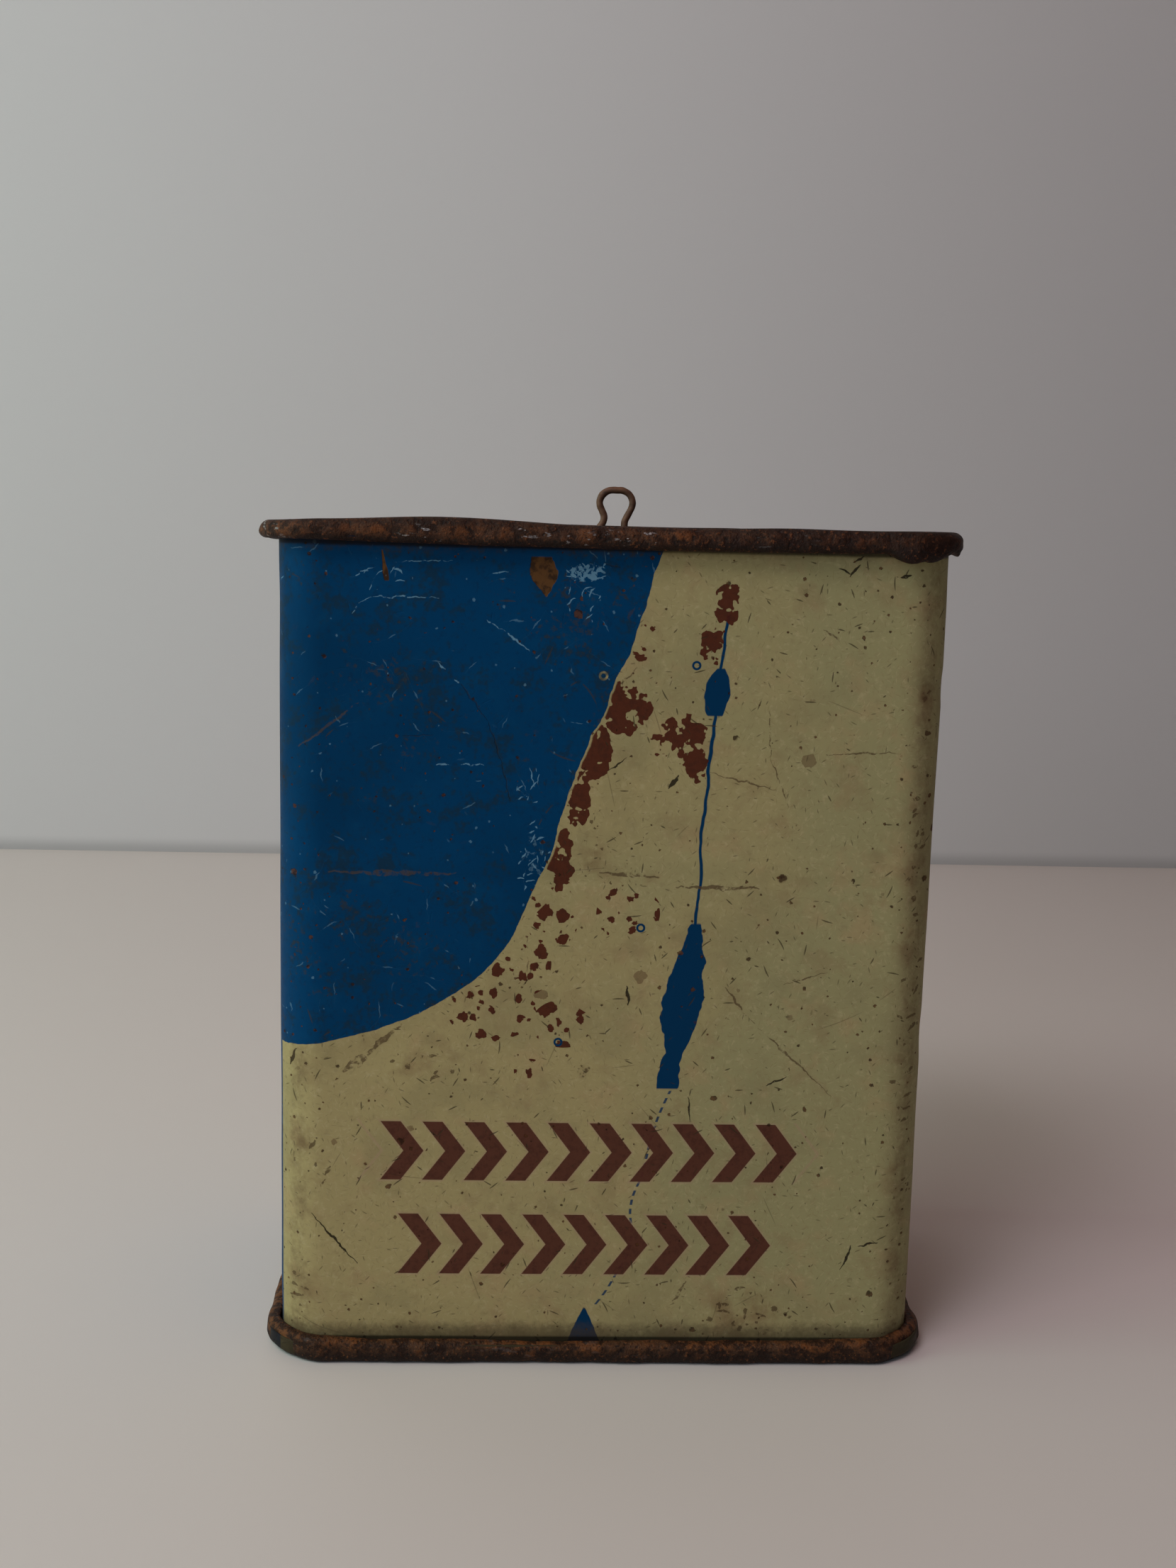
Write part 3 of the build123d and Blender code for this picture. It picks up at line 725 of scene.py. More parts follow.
RUSSET_DARK, BAND_DARK, BAND_HALO = (0.075, 0.018, 0.011), (0.082, 0.024, 0.017), (0.46, 0.31, 0.20)
SMEAR, SMEAR_DARK = (0.085, 0.050, 0.024), (0.060, 0.034, 0.018)
SEA_SHADE, SEA_DIRT, SEA_SCRATCH = (0.010, 0.034, 0.060), (0.045, 0.045, 0.040), (0.050, 0.042, 0.030)
SCRATCH_DARK, SCRATCH_BROWN = (0.030, 0.024, 0.014), (0.110, 0.070, 0.035)
EDGE_DIRT_AND_SHADE, CORNER_RUST_AND_SHADE, SEAM_SHADE = (0.085, 0.062, 0.034), (0.16, 0.105, 0.055), (0.012, 0.010, 0.008)
CHIP_RUST, CHIP_DARK, CHIP_METAL = (0.13, 0.060, 0.022), (0.050, 0.026, 0.014), (0.20, 0.21, 0.22)
ROLL_UNDERSIDE_SHADE, CREST_SHADE, PIT_OXIDE_AND_SHADE = (0.010, 0.006, 0.005), (0.016, 0.009, 0.006), (0.008, 0.005, 0.004)
RIM_DARK, RIM_ORANGE, RIM_FLAKE = (0.018, 0.007, 0.005), (0.190, 0.072, 0.022), (0.26, 0.235, 0.23)

PICTURE_CENTRE = (-60.0, 140.0)
# The shore's distance from the picture's centre by angle below the horizontal, in degrees.
SHORE = [
    (0, 68.5), (11, 67.8), (25, 68.2), (37, 70.5), (52, 80.2), (67, 89.4), (84, 90.6),
    (90, 90),
]
# The river's and the trail's x, and the lakes' half widths, by height.
RIVER = [
    (40, 9), (50, 10.4), (60, 11.9), (70, 13.1), (84, 13.8), (97, 14.6), (108, 15.6),
    (119, 16.8),
]
RIVER_HALF_WIDTH = 0.24
LOWER_LAKE = [
    (43, 0), (45, 1.7), (48.5, 1.5), (52, 1.9), (57, 2.9), (62, 2.5), (67, 1.7), (71, 0),
]
UPPER_LAKE = [(101, 0), (103.5, 1.5), (106, 1.75), (108.5, 1), (109.5, 0)]
TRAIL = [(8, -1.2), (14, 2.6), (20, 4.9), (25, 4.6), (31, 6.4), (37, 7.6), (44.5, 10.4)]
# Patches of russet marks: middle x and z, half sizes, and how dense they are.
MARKS = [
    (16.2, 118.4, 2.2, 4, 0.66), (14, 112.6, 2, 3.4, 0.6), (1.6, 102.6, 4.2, 4.4, 0.66),
    (9.6, 98.6, 4.8, 4, 0.66), (12.6, 94.6, 1.8, 3.4, 0.62), (-2.6, 96.4, 2.6, 5, 0.8),
    (-4.8, 89, 2, 5, 0.66), (-7.4, 80, 2.2, 5.4, 0.68), (2.8, 113, 2.6, 3.4, 0.34),
]
# Patches of scattered dots in the same colour.
DOT_AREAS = [
    (-8.6, 71.6, 4.4, 6), (3, 71.8, 5.4, 4.4), (-13.4, 63.8, 5.4, 5), (-17.4, 56, 7, 4.4),
    (-6.4, 54.6, 5, 3.8), (-11.4, 47, 2.4, 2), (3.4, 112.6, 3.4, 3.4),
]
# Dots for places: x, z.
PLACES = [(-1.7, 107.6), (12, 109.4), (4.9, 69.6), (-7.2, 51.6)]
# Rows of the chevron band: middle z, half height, half length, middle x, phase.
BAND_ROWS = [(34, 4.7, 33.6, -0.2, 0), (18.9, 4.9, 28.8, -0.6, 3.1)]
CHEVRON_PITCH = 6.4
CHEVRON_BAR = 3.1
CHEVRON_SLANT = 0.75
# Half the width of the soft edge of printed shapes.
PRINT_EDGE = 0.07


class Sheet(Paint):
    """The body's printed sheet: its unrolled coordinates and the fields that its layers share."""

    def __init__(self, name):
        super().__init__(name)
        self.sheet = self.unroll()
        self.flat = self.vector(self.x, self.z, 0.0)
        self.front = self.y.step(-21.0, -22.5)
        self.tone = self.noise(34.0, 3.0, 0.55, 20.0)
        self.broad = self.noise(11.0, 3.0, 0.6, 40.0)
        self.middle = self.noise(6.0, 4.0, 0.6, 21.0)
        self.cloud = self.noise(5.0, 4.0, 0.6, 43.0)
        self.fine = self.noise(0.9, 3.0, 0.65, 22.0)
        self.grit = self.noise(0.8, 3.0, 0.65, 41.0)
        self.stain = place_areas(self, SMUDGES) * self.front


def blob(paint, x, z, half_x, half_z):
    """Normalised distance from the middle of an ellipse on the front: 0 inside, 1 at its edge."""
    return paint.use(BLOB, paint.flat, (x, z, 0.0), (half_x, half_z, 1.0))


def shore_distance(paint):
    """Signed distance-like field in mm: positive on the blue side of the shore line."""
    dx, dz = paint.x - PICTURE_CENTRE[0], PICTURE_CENTRE[1] - paint.z
    radius = (dx * dx + dz * dz).power(0.5)
    angle = dz.op("ARCTAN2", dx) * (180 / math.pi)
    shore = angle.curve(0.0, 90.0, SHORE)
    rough = paint.noise(7.0, 3.0, 0.5, 2.0) * 2.4 - 1.2
    fine = paint.noise(1.6, 2.0, 0.5, 3.0) * 0.5 - 0.25
    return shore + rough * angle.step(60.0, 40.0) + fine - radius


def water_mask(paint):
    """River, two lakes, the dashed trail and the inlet at the foot, all on the front."""
    x, z = paint.x, paint.z
    wiggle = (paint.noise(5.0, 2.0, 0.5, 5.0) - 0.5) * 1.6
    line = z.curve(40.0, 119.0, RIVER) + wiggle
    away = (x - line).abs()
    edge = (paint.noise(2.4, 2.0, 0.5, 6.0) - 0.5) * 1.6
    river = away.step(RIVER_HALF_WIDTH + PRINT_EDGE, RIVER_HALF_WIDTH - PRINT_EDGE)
    river = river * z.step(69.0, 69.6) * z.step(117.2, 116.6)
    lower = z.curve(43.0, 71.0, LOWER_LAKE) + edge
    lower_mask = (lower - away).step(-0.06, 0.06) * z.step(44.2, 44.5) * z.step(70.6, 70.2)
    upper = z.curve(101.0, 109.5, UPPER_LAKE) + edge * 0.6
    upper_mask = (upper - away).step(-0.06, 0.06) * z.step(101.8, 102.1) * z.step(109.2, 108.9)
    trail_line = z.curve(8.0, 44.5, TRAIL)
    trail = (x - trail_line).abs().step(0.26, 0.14)
    dash = (z * (1 / 1.5)).op("FRACT").step(0.62, 0.55)
    trail = trail * dash * z.step(8.4, 8.8) * z.step(44.2, 43.9)
    inlet_half = (9.0 - z) * 0.42 + edge * 0.5
    inlet = (inlet_half - (x + 2.2).abs()).step(-0.06, 0.06) * z.step(8.6, 8.2)
    water = river.max(lower_mask).max(upper_mask).max(inlet)
    return water * paint.front, trail * paint.front


def mark_mask(paint, shore):
    """Scattered russet marks: ragged patches, and separate dots between them."""
    cover = union(
        blob(paint, x, z, half_x * 1.2, half_z * 1.2).step(1.0, 0.55) * dense
        for x, z, half_x, half_z, dense in MARKS
    )
    texture = paint.noise(2.0, 2.0, 0.5, 8.0, distortion=0.4)
    texture = texture * 0.8 + paint.noise(0.9, 1.0, 0.5, 9.0) * 0.2
    patches = (cover * 0.40 + 0.30 - texture).step(-0.004, 0.012) * cover.step(0.01, 0.05)
    area = union(blob(paint, *spot).step(1.05, 0.85) for spot in DOT_AREAS)
    dots = paint.spots(paint.sheet, 3.0, 0.25, 1.7, 4.0, area * 0.85)
    dots = dots.max(paint.spots(paint.sheet, 2.3, 0.15, 0.9, 5.0, area * 0.40))
    inland = shore.step(-0.2, -0.5)
    return patches.max(dots) * inland * paint.front


def band_row(paint, grow, middle_z, half_z, half_x, middle_x, phase):
    """One row of chevrons, each grown by this much all round."""
    soft_out, soft_in = grow + PRINT_EDGE, grow - PRINT_EDGE
    dz = (paint.z - middle_z).abs()
    slanted = paint.x - middle_x + phase + dz * CHEVRON_SLANT
    along = (slanted / CHEVRON_PITCH).op("FRACT") * CHEVRON_PITCH
    half_bar = CHEVRON_BAR / 2
    bar = (along - CHEVRON_PITCH / 2).abs().step(half_bar + soft_out, half_bar + soft_in)
    inside = dz.step(half_z + soft_out, half_z + soft_in)
    inside = inside * (slanted - phase).abs().step(half_x + soft_out, half_x + soft_in)
    return bar * inside


def band_mask(paint, grow=0.0):
    """Two rows of chevrons, the printed band near the foot."""
    return union(band_row(paint, grow, *row) for row in BAND_ROWS) * paint.front


def all_lines(paint, place, lines):
    """Every scratch of a table: start x and z, end x and z, width."""
    return union(paint.line(place, (x0, z0), (x1, z1), width) for x0, z0, x1, z1, width in lines)


# Scratches on the front: start x and z, end x and z, width.
PALE_LINES = [
    (-38.5, 116, -37.5, 117.5, 0.26), (-37.5, 117.5, -35.5, 118.5, 0.16),
    (-35.5, 118.5, -26, 118.5, 0.2), (-19, 115.5, -16.5, 114, 0.22), (-16.5, 114, -12.5, 111, 0.3),
    (-26.5, 94, -24, 94, 0.28), (-22.5, 94, -19, 94, 0.28), (-18.5, 122, -16, 122.5, 0.24),
    (-26, 109, -25, 108, 0.28), (-23.5, 106.5, -22.5, 106, 0.42), (-32.5, 123.5, -24, 124, 0.14),
    (-12.5, 94, -11.5, 91, 0.2), (9, 67, 11, 63.5, 0.2),
]
DARK_LINES = [
    (-23, 106.5, -18.5, 100.5, 0.24), (-18.5, 100.5, -16.5, 94.5, 0.26), (-16.5, 94.5, -15, 88.5, 0.22),
    (-31, 98, -26.5, 98.5, 0.2), (32.5, 124.2, 34.2, 123.4, 0.4), (34, 123, 35.6, 124.6, 0.46),
    (34.4, 125, 36, 126, 0.4), (41.5, 122.8, 43.2, 123.4, 0.7), (8.5, 91, 10, 93, 0.7),
    (-48, 47, -47, 49.5, 0.6), (-44.5, 23.5, -37.5, 15.5, 0.34), (38, 15, 39.5, 19, 0.4),
    (40.5, 19, 43.5, 19.5, 0.5), (3, 60.5, 3.5, 57.5, 0.6), (-0.5, 93.5, 2, 95.5, 0.28),
    (25, 45, 28, 46.5, 0.34), (13, 43, 13.5, 39, 0.34), (-2, 124, 0.5, 123.5, 0.3),
]
BROWN_LINES = [
    (-46.5, 96, -37.5, 103, 0.5), (-42, 77.5, -23, 77.5, 0.9), (-1.5, 78, 7.5, 77.5, 0.7),
    (10, 76, 22.5, 76, 0.7), (18, 60.5, 21.5, 56, 0.36), (21.5, 56, 35, 43.5, 0.3),
    (30.5, 115, 33, 113.5, 0.4), (32, 96.5, 43, 97, 0.3), (23, 103, 23.5, 96, 0.3),
    (23.5, 96, 26.5, 88.5, 0.28), (14.5, 93.5, 24.5, 91, 0.3), (-40, 46.5, -35.5, 49.5, 1.7),
    (-36.5, 49, -31, 54, 1.00), (11.5, 8.5, 13.5, 13, 0.6), (0.5, 106, 3.5, 109, 0.26),
    (-12, 68, -12, 62.5, 0.26), (27, 61, 33.5, 63, 0.24),
]


def place_areas(paint, areas):
    """Soft ellipses on the front: middle x and z, half sizes, strength."""
    return union(blob(paint, *spot).step(1.0, 0.35) * strength for *spot, strength in areas)


# Where the print is scuffed through, and where it is smudged.
SCUFFS = [
    (-4.6, 122.6, 4.6, 2.2, 1), (-5.4, 118.2, 4, 3.6, 0.42), (-11.4, 80.4, 3.6, 7.2, 0.66),
    (-13, 91, 3, 4, 0.3), (-33.5, 121.4, 7, 3, 0.36), (-48.5, 121, 1.6, 3.4, 0.5),
]
SMUDGES = [
    (-3.4, 46.8, 2, 1.9, 1.3), (26, 77.5, 1.3, 1, 2.2), (-45, 32, 4.4, 7, 0.75), (24, 8.2, 10, 5, 0.9),
    (-28, 47, 10, 4, 0.5), (-3, 82, 2.6, 6.4, 0.75), (3, 77.8, 7, 2.6, 0.62), (-46.5, 9, 3.5, 8, 0.55),
    (46.5, 60, 3, 64, 0.55), (3, 121.5, 3.4, 3, 0.55), (46.6, 106, 2.2, 2.6, 1),
]


# Half widths of the chip and the nick by height.
CHIP = [(118.8, 0), (119.6, 0.5), (120.6, 1.2), (122.4, 2), (124, 1.7), (125, 1.5)]
NICK = [(120.6, 0.1), (121.4, 0.42), (123.2, 0.26), (125.4, 0.1)]


def chip_mask(paint):
    """One flake of missing paint near the top edge, and a narrow nick to its left."""
    x, z = paint.x, paint.z
    ragged = (paint.noise(1.2, 2.0, 0.6, 63.0) - 0.5) * 0.8
    half = z.curve(118.8, 125.0, CHIP)
    inside = (half - (x + 10.7 + (z - 122.0) * 0.12).abs() + ragged).step(-0.05, 0.08)
    chip = inside * z.step(118.9, 119.1) * z.step(124.9, 124.6)
    half = z.curve(120.6, 125.4, NICK)
    centre = (z - 125.0) * -0.16 - 34.2
    nick = (half - (x - centre).abs() + ragged * 0.25).step(-0.04, 0.06)
    nick = nick * z.step(120.7, 120.9) * z.step(125.4, 125.0)
    return chip.max(nick)


def print_layers(paint):
    """The print as new: aged cream and blue grounds, water, russet marks, chevrons and place rings."""
    shore = shore_distance(paint)
    left_side = paint.x.step(-49.45, -49.6)
    sea = (shore.step(-0.05, 0.05) * paint.front).max(left_side)

    tone, middle, fine = paint.tone, paint.middle, paint.fine
    cream = paint.mix(CREAM, CREAM_GREEN, (paint.x * 0.006 + tone).step(0.38, 0.72) * 0.8)
    cream = paint.mix(cream, CREAM_TAN, middle.step(0.50, 0.72) * 0.55)
    cream = paint.mix(cream, CREAM_DULL, fine.step(0.54, 0.72) * 0.50)
    cream = paint.mix(cream, CREAM_BRIGHT, fine.step(0.46, 0.30) * 0.40)
    fleck = paint.strokes(paint.sheet, 1.15, 1.15, 0.13, 6.0, 0.75)
    cream = paint.mix(cream, FLECK_DARK, fleck * 0.5)
    fleck_light = paint.strokes(paint.sheet, 1.3, 1.2, 0.13, 7.0, 0.7)
    cream = paint.mix(cream, FLECK_LIGHT, fleck_light * 0.4)
    cloud, stain = paint.cloud, paint.stain
    cream = paint.mix(cream, AGED_TAN, cloud.step(0.52, 0.68) * 0.35)
    cream = paint.mix(cream, AGED_OLIVE, paint.broad.step(0.50, 0.64) * 0.30)
    blotch = (middle * 0.5 + cloud * 0.5 + stain * 0.06).step(0.50, 0.66) * stain.min(1.0)
    cream = paint.mix(cream, AGED_BROWN, blotch * 0.8)
    blue = paint.mix(BLUE, BLUE_DEEP, tone.step(0.40, 0.68) * 0.7)
    blue = paint.mix(blue, BLUE_BRIGHT, middle.step(0.50, 0.70) * 0.5)
    blue = paint.mix(blue, BLUE_DULL, fine.step(0.54, 0.70) * 0.45)
    paint.colour = paint.mix(cream, blue, sea)

    water, trail = water_mask(paint)
    paint.lay(WATER, water.max(trail * 0.9))
    marks = mark_mask(paint, shore)
    russet = paint.mix(RUSSET, RUSSET_DARK, fine.step(0.45, 0.65))
    paint.lay(russet, marks * 0.97)
    paint.lay(BAND_HALO, band_mask(paint, 0.28) * 0.40)
    band = paint.mix(BAND_BROWN, BAND_DARK, fine.step(0.45, 0.65))
    paint.lay(band, band_mask(paint) * 0.96)
    for x, z in PLACES:
        spot = blob(paint, x, z, 0.75, 0.75)
        ring = spot.step(1.0, 0.85) * spot.step(0.40, 0.55) * paint.front
        paint.lay(CREAM if x < -1 and z > 60 else WATER, ring)
    return sea


def wear_layers(paint, sea):
    """Scratches, scuffs, spots, stains, chips and rust over the print, with dirt and painted shade
    towards the seams and down the corners, and painted shade just beside the seams. Gives the worn
    depth.
    """
    land = 1 - sea
    place, front, z, side = paint.sheet, paint.front, paint.z, paint.x.abs()
    broad, cloud, grit, stain = paint.broad, paint.cloud, paint.grit, paint.stain
    wave = paint.add("TexNoise")
    wave.inputs["Scale"].default_value = 1 / 1.3
    paint.tree.links.new(place, wave.inputs["Vector"])
    moved = paint.vmath("SUBTRACT", wave.outputs["Color"], (0.5, 0.5, 0.5))
    uneven = paint.vmath("ADD", place, paint.vmath("SCALE", moved, 0.9))
    uneven = paint.vmath("MULTIPLY", uneven, (1.0, 1.0, 0.0))

    mottle = grit * 0.45 + cloud * 0.55
    smears = paint.strokes(uneven, 2.1, 2.6, 0.55, 24.0, stain * 0.55, 30.0, 120.0, 0.3)
    smears = smears.max(paint.spots(place, 1.7, 0.10, 0.55, 25.0, stain * 0.55))
    paint.lay(SMEAR, smears * grit.step(0.36, 0.48) * 0.75)
    heavy = (mottle + stain * 0.10).step(0.66, 0.72) * stain.step(0.8, 1.2)
    paint.lay(SMEAR_DARK, heavy * 0.8)
    paint.lay(SEA_SHADE, (cloud * 0.6 + grit * 0.4).step(0.50, 0.60) * 0.70 * sea)
    paint.lay(SEA_DIRT, (broad * 0.5 + grit * 0.5).step(0.57, 0.64) * 0.50 * sea)

    scuff = place_areas(paint, SCUFFS) * front
    rubbed = paint.strokes(uneven, 1.3, 1.7, 0.24, 12.0, scuff * 1.1, 10.0, 150.0, 0.3)
    rubbed = rubbed.max(paint.strokes(uneven, 1.9, 2.0, 0.20, 13.0, scuff * 0.9, 60.0, 120.0, 0.3))
    solid = (grit + scuff * 0.30).step(0.74, 0.80) * scuff.step(0.55, 0.8)
    stray = paint.strokes(uneven, 4.6, 2.6, 0.20, 14.0, broad.step(0.42, 0.56) * 0.70)
    nicks = paint.spots(place, 4.0, 0.08, 0.30, 15.0, 0.35)
    pale = rubbed.max(solid).max(all_lines(paint, uneven, PALE_LINES) * front * grit.step(0.40, 0.50))
    paint.lay(PALE_BLUE, pale.max(stray * 0.42).max(nicks * 0.55) * sea * 0.85)

    dull = paint.strokes(place, 9.0, 5.0, 0.30, 16.0, broad.step(0.40, 0.56) * 0.5)
    paint.lay(SEA_SCRATCH, dull * sea * 0.6)
    short = paint.strokes(place, 4.2, 2.1, 0.24, 17.0, broad.step(0.36, 0.60) * 0.60)
    tiny = paint.strokes(place, 1.8, 1.0, 0.20, 18.0, 0.36)
    long = paint.strokes(place, 13.0, 9.0, 0.18, 19.0, 0.45, bend=0.02)
    dark = short.max(tiny * 0.65).max(long * 0.45)
    paint.lay(GRIME, dark * land * 0.75)
    dark_lines = all_lines(paint, uneven, DARK_LINES) * front * grit.step(0.30, 0.38)
    paint.lay(SCRATCH_DARK, dark_lines * (land * 0.55 + 0.4))
    broken = (grit * 0.6 + cloud * 0.4).step(0.42, 0.52)
    brown_lines = all_lines(paint, uneven, BROWN_LINES) * front * broken
    paint.lay(SCRATCH_BROWN, brown_lines * (land * 0.30 + 0.5))

    foot = z.step(9.0, 3.8)
    head = z.step(121.8, 126.2)
    edge = foot.max(head * 0.55)
    corner = side.step(41.5, 46.5) * side.step(49.8, 47.5)
    crowd = (broad.step(0.40, 0.62) * 0.5 + edge * 0.4 + corner * 0.45).min(0.95)
    small = paint.spots(place, 2.2, 0.08, 0.34, 21.0, crowd * 0.6 + 0.06)
    large = paint.spots(place, 8.0, 0.20, 0.80, 22.0, crowd * 0.35 + 0.08)
    rust = small.max(large)
    rust_tone = paint.mix(RUST, RUST_DARK, grit.step(0.42, 0.58))
    paint.lay(rust_tone, rust * 0.85)
    # Dirt and painted shade: patchy darkening towards the foot and below the top seam.
    paint.lay(EDGE_DIRT_AND_SHADE, (foot * 0.75 + head * 0.5 + mottle).step(0.85, 1.30) * 0.65)
    # Rust and painted shade: patchy darkening down the rounded corners of the sheet.
    paint.lay(CORNER_RUST_AND_SHADE, (corner * (cloud + grit)).step(0.70, 1.40) * land * 0.55)
    shade = z.step(125.55, 126.05).max(z.step(3.75, 3.35))
    paint.lay(SEAM_SHADE, shade * 0.8)

    chip = chip_mask(paint) * front
    inner = paint.noise(1.3, 3.0, 0.6, 64.0)
    chip_tone = paint.mix(CHIP_RUST, CHIP_DARK, inner.step(0.42, 0.58))
    chip_tone = paint.mix(chip_tone, CHIP_METAL, inner.step(0.66, 0.72) * 0.6)
    paint.lay(chip_tone, chip)
    depth = rust.max(dark_lines).max(chip).max(dark * 0.3)
    return depth


def printed_sheet():
    """The printed and worn sheet of the body."""
    paint = Sheet("printed_sheet")
    sea = print_layers(paint)
    depth = wear_layers(paint, sea)
    rough = paint.fine * 0.25 + 0.38 + depth * 0.25
    height = paint.noise(1.6, 4.0, 0.6, 70.0) * 0.5 + paint.fine * 0.2 - depth * 1.2
    return paint.finish(rough, height, 0.00005, gloss=0.05)


def rust_material(name, seed, tone, flaky, seam_low, seam_high, dark_end=0.0, bright_corners=0.0):
    """Rolled tinplate gone brown: reddish bloom above, painted shade on the lower part and along the
    crest, dark oxide in pits and light grains with painted shade and highlight laid in, rubbed silvery
    flakes.
    """
    paint = Paint(name)
    broad = paint.noise(8.0, 4.0, 0.6, seed)
    middle = paint.noise(1.8, 4.0, 0.65, seed + 1)
    fine = paint.noise(0.55, 3.0, 0.65, seed + 2)
    red, green, blue = tone
    paint.colour = paint.mix(tone, (red * 1.5, green * 1.3, blue), broad.step(0.42, 0.62) * 0.8)
    bloom = (middle * broad * 2).step(0.50, 0.80)
    paint.lay((red * 2.6, green * 1.9, blue), bloom * 0.7)
    if dark_end:
        paint.lay(RIM_DARK, paint.x.step(2.0, 42.0) * dark_end)
    if bright_corners:
        corner = paint.x.abs().step(43.0, 50.5) * (middle * 0.5 + broad * 0.5).step(0.40, 0.56)
        paint.lay(RIM_ORANGE, corner * bright_corners)
    up = (paint.z - seam_low) / (seam_high - seam_low) + (middle - 0.5) * 0.7
    # Painted shade: the lower part of each roll is darker, as if turned away from the light, with an
    # uneven edge.
    paint.lay(ROLL_UNDERSIDE_SHADE, up.step(0.70, 0.20) * 0.85)
    paint.lay(CREST_SHADE, up.step(0.86, 1.10) * 0.7)
    paint.lay((red * 0.25, green * 0.22, blue * 0.25), middle.step(0.54, 0.42) * 0.85)
    # Dark oxide in the pits and orange rust on the raised grains, with painted shade in the pits and a
    # painted highlight on the grains; the same fine noise raises the bumps.
    paint.lay(PIT_OXIDE_AND_SHADE, fine.step(0.45, 0.34) * 0.85)
    paint.lay((red * 3.4, green * 2.8, blue * 2.0), fine.step(0.56, 0.68) * 0.5)
    stretched = paint.vector(paint.x * 0.35, paint.y * 0.5, paint.z)
    patchy = paint.noise(6.0, 2.0, 0.5, seed + 5).step(0.47, 0.56)
    flakes = paint.noise(0.8, 3.0, 0.6, seed + 6, place=stretched).step(0.585, 0.615) * patchy * flaky
    flakes = flakes * paint.x.step(36.0, 4.0) * up.step(0.2, 0.35) * up.step(1.05, 0.8)
    paint.lay(RIM_FLAKE, flakes)
    height = middle * 1.2 + fine * 0.8 + broad * 0.5
    rough = 0.62 - flakes * 0.3
    return paint.finish(rough, height, 0.00040, metallic=flakes * 0.6, gloss=0.2)


def metal_material(name, seed, clean, tarnish, rust_amount, roughness=0.38, metallic=0.75, size=9.0):
    """Plain sheet, wire or brass: brushed, with tarnish and a little rust."""
    paint = Paint(name)
    broad = paint.noise(size, 4.0, 0.6, seed)
    fine = paint.noise(1.1, 5.0, 0.65, seed + 1)
    paint.colour = paint.mix(clean, tarnish, broad.step(0.35, 0.7))
    limit = 0.62 - rust_amount * 0.2
    paint.lay(RUST, (fine * 0.6 + broad * 0.4).step(limit, limit + 0.08))
    paint.lay(RUST_DARK, fine.step(0.36, 0.26) * 0.6)
    rough = roughness + broad * 0.3
    return paint.finish(rough, fine + broad * 0.5, 0.00006, metallic=metallic)


# ---- build the pieces ----

def use(obj, material, slot, body, *nodes):
    """Gives a new piece its material, its body and the CAD nodes it stands for; the slot is not used."""
    obj.data.materials.append(material)
    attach(obj, body)
    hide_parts(*nodes)


SHEET_METAL = metal_material("dull_tinplate", 80.0, (0.44, 0.42, 0.39), (0.26, 0.22, 0.18), 0.25)
WIRE_METAL = metal_material(
    "brown_wire", 84.0, (0.190, 0.092, 0.048), (0.070, 0.038, 0.024), 0.45, 0.45, metallic=0.2, size=2.6
)
RIVET_METAL = metal_material("rivet_steel", 88.0, (0.45, 0.43, 0.40), (0.28, 0.24, 0.20), 0.3)
LOCK_METAL = metal_material("lock_steel", 92.0, (0.40, 0.38, 0.36), (0.24, 0.20, 0.17), 0.3)
BRASS = metal_material("dull_brass", 96.0, (0.46, 0.31, 0.11), (0.24, 0.15, 0.06), 0.0)
SOLDER = metal_material("soft_solder", 100.0, (0.38, 0.37, 0.35), (0.22, 0.20, 0.18), 0.2, 0.5)

RUSTED_TOP = rust_material(
    "rusted_top", 110.0, (0.074, 0.031, 0.015), 0.95, TIN_HEIGHT - TOP_SEAM, TIN_HEIGHT, dark_end=0.62
)
RUSTED_BASE = rust_material(
    "rusted_base", 120.0, (0.078, 0.035, 0.016), 0.12, 0.2, BASE_SEAM + 0.8, bright_corners=0.7
)

tin_body = make_body()
use(tin_body, printed_sheet(), "printed_tinplate", "tin", "body_shell")
tin_body.data.materials.append(SHEET_METAL)
top_pressing = make_end("top_pressing", TOP_SEAM, TOP_RECESS, COIN_SLOT, COIN_SLOT_LIP, True)
use(top_pressing, RUSTED_TOP, "rusted_tinplate", "tin", "top_end")
base_pressing = make_end("base_pressing", BASE_SEAM, BASE_RECESS, HATCH_OPENING, 0.0, False)
use(base_pressing, RUSTED_BASE, "rusted_tinplate", "tin", "base_end")
use(make_loop(), WIRE_METAL, "steel_wire", "tin", "hanging_loop")
for mound in make_solder():
    use(mound, SOLDER, "solder", "tin", "loop_solder")

CAD_FINISH = {
    "slot_guard": SHEET_METAL, "hatch_door": SHEET_METAL, "hinge_leaf": SHEET_METAL,
    "hinge_pin": WIRE_METAL, "hinge_rivets": RIVET_METAL, "lock_rivets": RIVET_METAL,
    "lock_case": LOCK_METAL, "lock_cam": LOCK_METAL, "cam_screw": LOCK_METAL,
    "detent_spring": LOCK_METAL, "keyhole_plate": BRASS, "lock_spindle": BRASS,
}
for node, material in CAD_FINISH.items():
    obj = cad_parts[node]
    obj.data.materials.clear()
    obj.data.materials.append(material)


# ---- floor, light, camera ----

def stage_material(name, colour, crease):
    """Matt paint with painted shade: darker to the right and, by the crease, darker along the foot of
    the wall.
    """
    paint = Paint(name)
    tone = paint.noise(300.0, 2.0, 0.5, 130.0)
    paint.colour = paint.mix(colour, tuple(c * 0.97 for c in colour), tone)
    # Painted shade: darker towards the right.
    paint.lay(tuple(c * 0.82 for c in colour), paint.x.step(-60.0, 320.0) * 0.9)
    # Painted shade along the foot of the wall, where it meets the table.
    paint.lay(tuple(c * 0.45 for c in colour), paint.z.step(6.0, 0.5) * crease)
    return paint.finish(0.6)


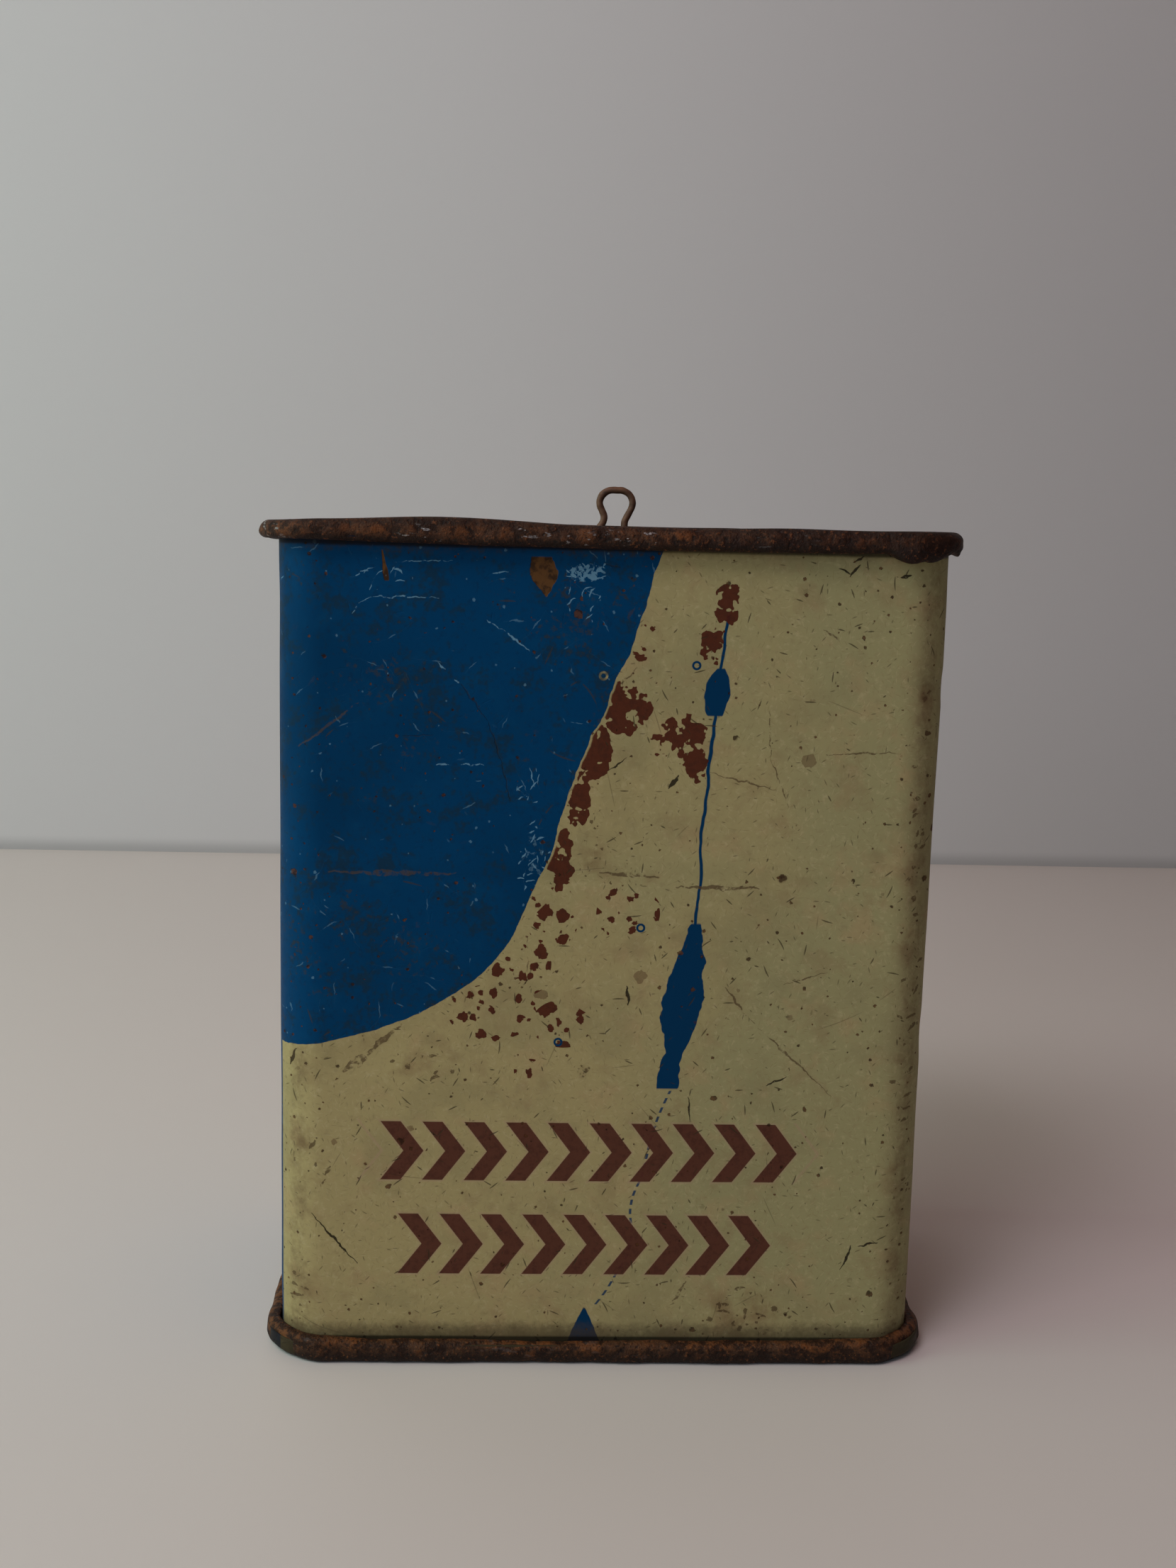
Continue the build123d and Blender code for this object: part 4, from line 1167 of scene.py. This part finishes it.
def make_stage():
    """A pale table and the pale wall behind it, in metres."""
    wall_y, rise, reach = 0.354, 1.6, 1.6
    line = [(-reach, 0.0), (wall_y, 0.0), (wall_y, rise)]
    verts, faces = [], []
    for y, z in line:
        verts += [(-reach, y, z), (reach, y, z)]
    for i in range(len(line) - 1):
        faces.append((2 * i, 2 * i + 1, 2 * i + 3, 2 * i + 2))
    mesh = bpy.data.meshes.new("table_and_wall")
    mesh.from_pydata(verts, [], faces)
    obj = bpy.data.objects.new("table_and_wall", mesh)
    bpy.context.scene.collection.objects.link(obj)
    mesh.materials.append(stage_material("table", (0.78, 0.745, 0.71), 0.0))
    mesh.materials.append(stage_material("wall", (0.75, 0.73, 0.745), 0.55))
    for polygon in mesh.polygons:
        polygon.material_index = 0 if polygon.index == 0 else 1


def area_light(name, place, target, size, power, colour):
    """A rectangular light aimed at a target, in metres and watts."""
    data = bpy.data.lights.new(name, "AREA")
    data.shape = "RECTANGLE"
    data.size, data.size_y = size
    data.energy = power
    data.color = colour
    obj = bpy.data.objects.new(name, data)
    obj.location = place
    direction = Vector(target) - Vector(place)
    obj.rotation_euler = direction.to_track_quat("-Z", "Y").to_euler()
    bpy.context.scene.collection.objects.link(obj)


# Solved from the object's outline: place in millimetres, turns in degrees.
CAMERA_PLACE = (-13.62, -275.87, 131.6)
CAMERA_PITCH = 9.25
CAMERA_YAW = 2.33
CAMERA_ROLL = 1.42
CAMERA_LENS = 38.6


def make_camera():
    """The camera at the photograph's viewing angle."""
    data = bpy.data.cameras.new("camera")
    data.sensor_width = 36
    data.lens = CAMERA_LENS
    data.clip_start = 0.01
    obj = bpy.data.objects.new("camera", data)
    obj.location = [v * MM for v in CAMERA_PLACE]
    turn = Matrix.Rotation(math.radians(-CAMERA_YAW), 4, "Z")
    tilt = Matrix.Rotation(math.radians(90 - CAMERA_PITCH), 4, "X")
    roll = Matrix.Rotation(math.radians(CAMERA_ROLL), 4, "Z")
    obj.rotation_euler = (turn @ tilt @ roll).to_euler()
    bpy.context.scene.collection.objects.link(obj)
    bpy.context.scene.camera = obj


def make_world():
    """A faint even fill."""
    world = bpy.data.worlds.new("room")
    world.use_nodes = True
    background = world.node_tree.nodes["Background"]
    background.inputs["Color"].default_value = (0.92, 0.95, 1.0, 1.0)
    background.inputs["Strength"].default_value = 0.025
    bpy.context.scene.world = world


make_stage()
area_light("window_left", (-0.65, -0.15, 0.40), (0, 0, 0.05), (0.45, 0.45), 1.95, (0.72, 1.0, 0.84))
area_light("window_high", (-0.4, -0.5, 0.9), (0, -0.3, 0), (0.4, 0.4), 3.0, (1.0, 0.89, 0.95))
area_light("window_front", (-0.5, -0.9, 0.5), (0, -0.1, 0.05), (0.5, 0.5), 1.3, (0.80, 0.84, 1.0))
area_light("ceiling", (0.0, 0.0, 1.3), (0, 0, 0), (1.2, 1.2), 2.2, (1.0, 0.42, 0.30))
make_camera()
make_world()
bpy.context.scene.view_settings.view_transform = "Standard"
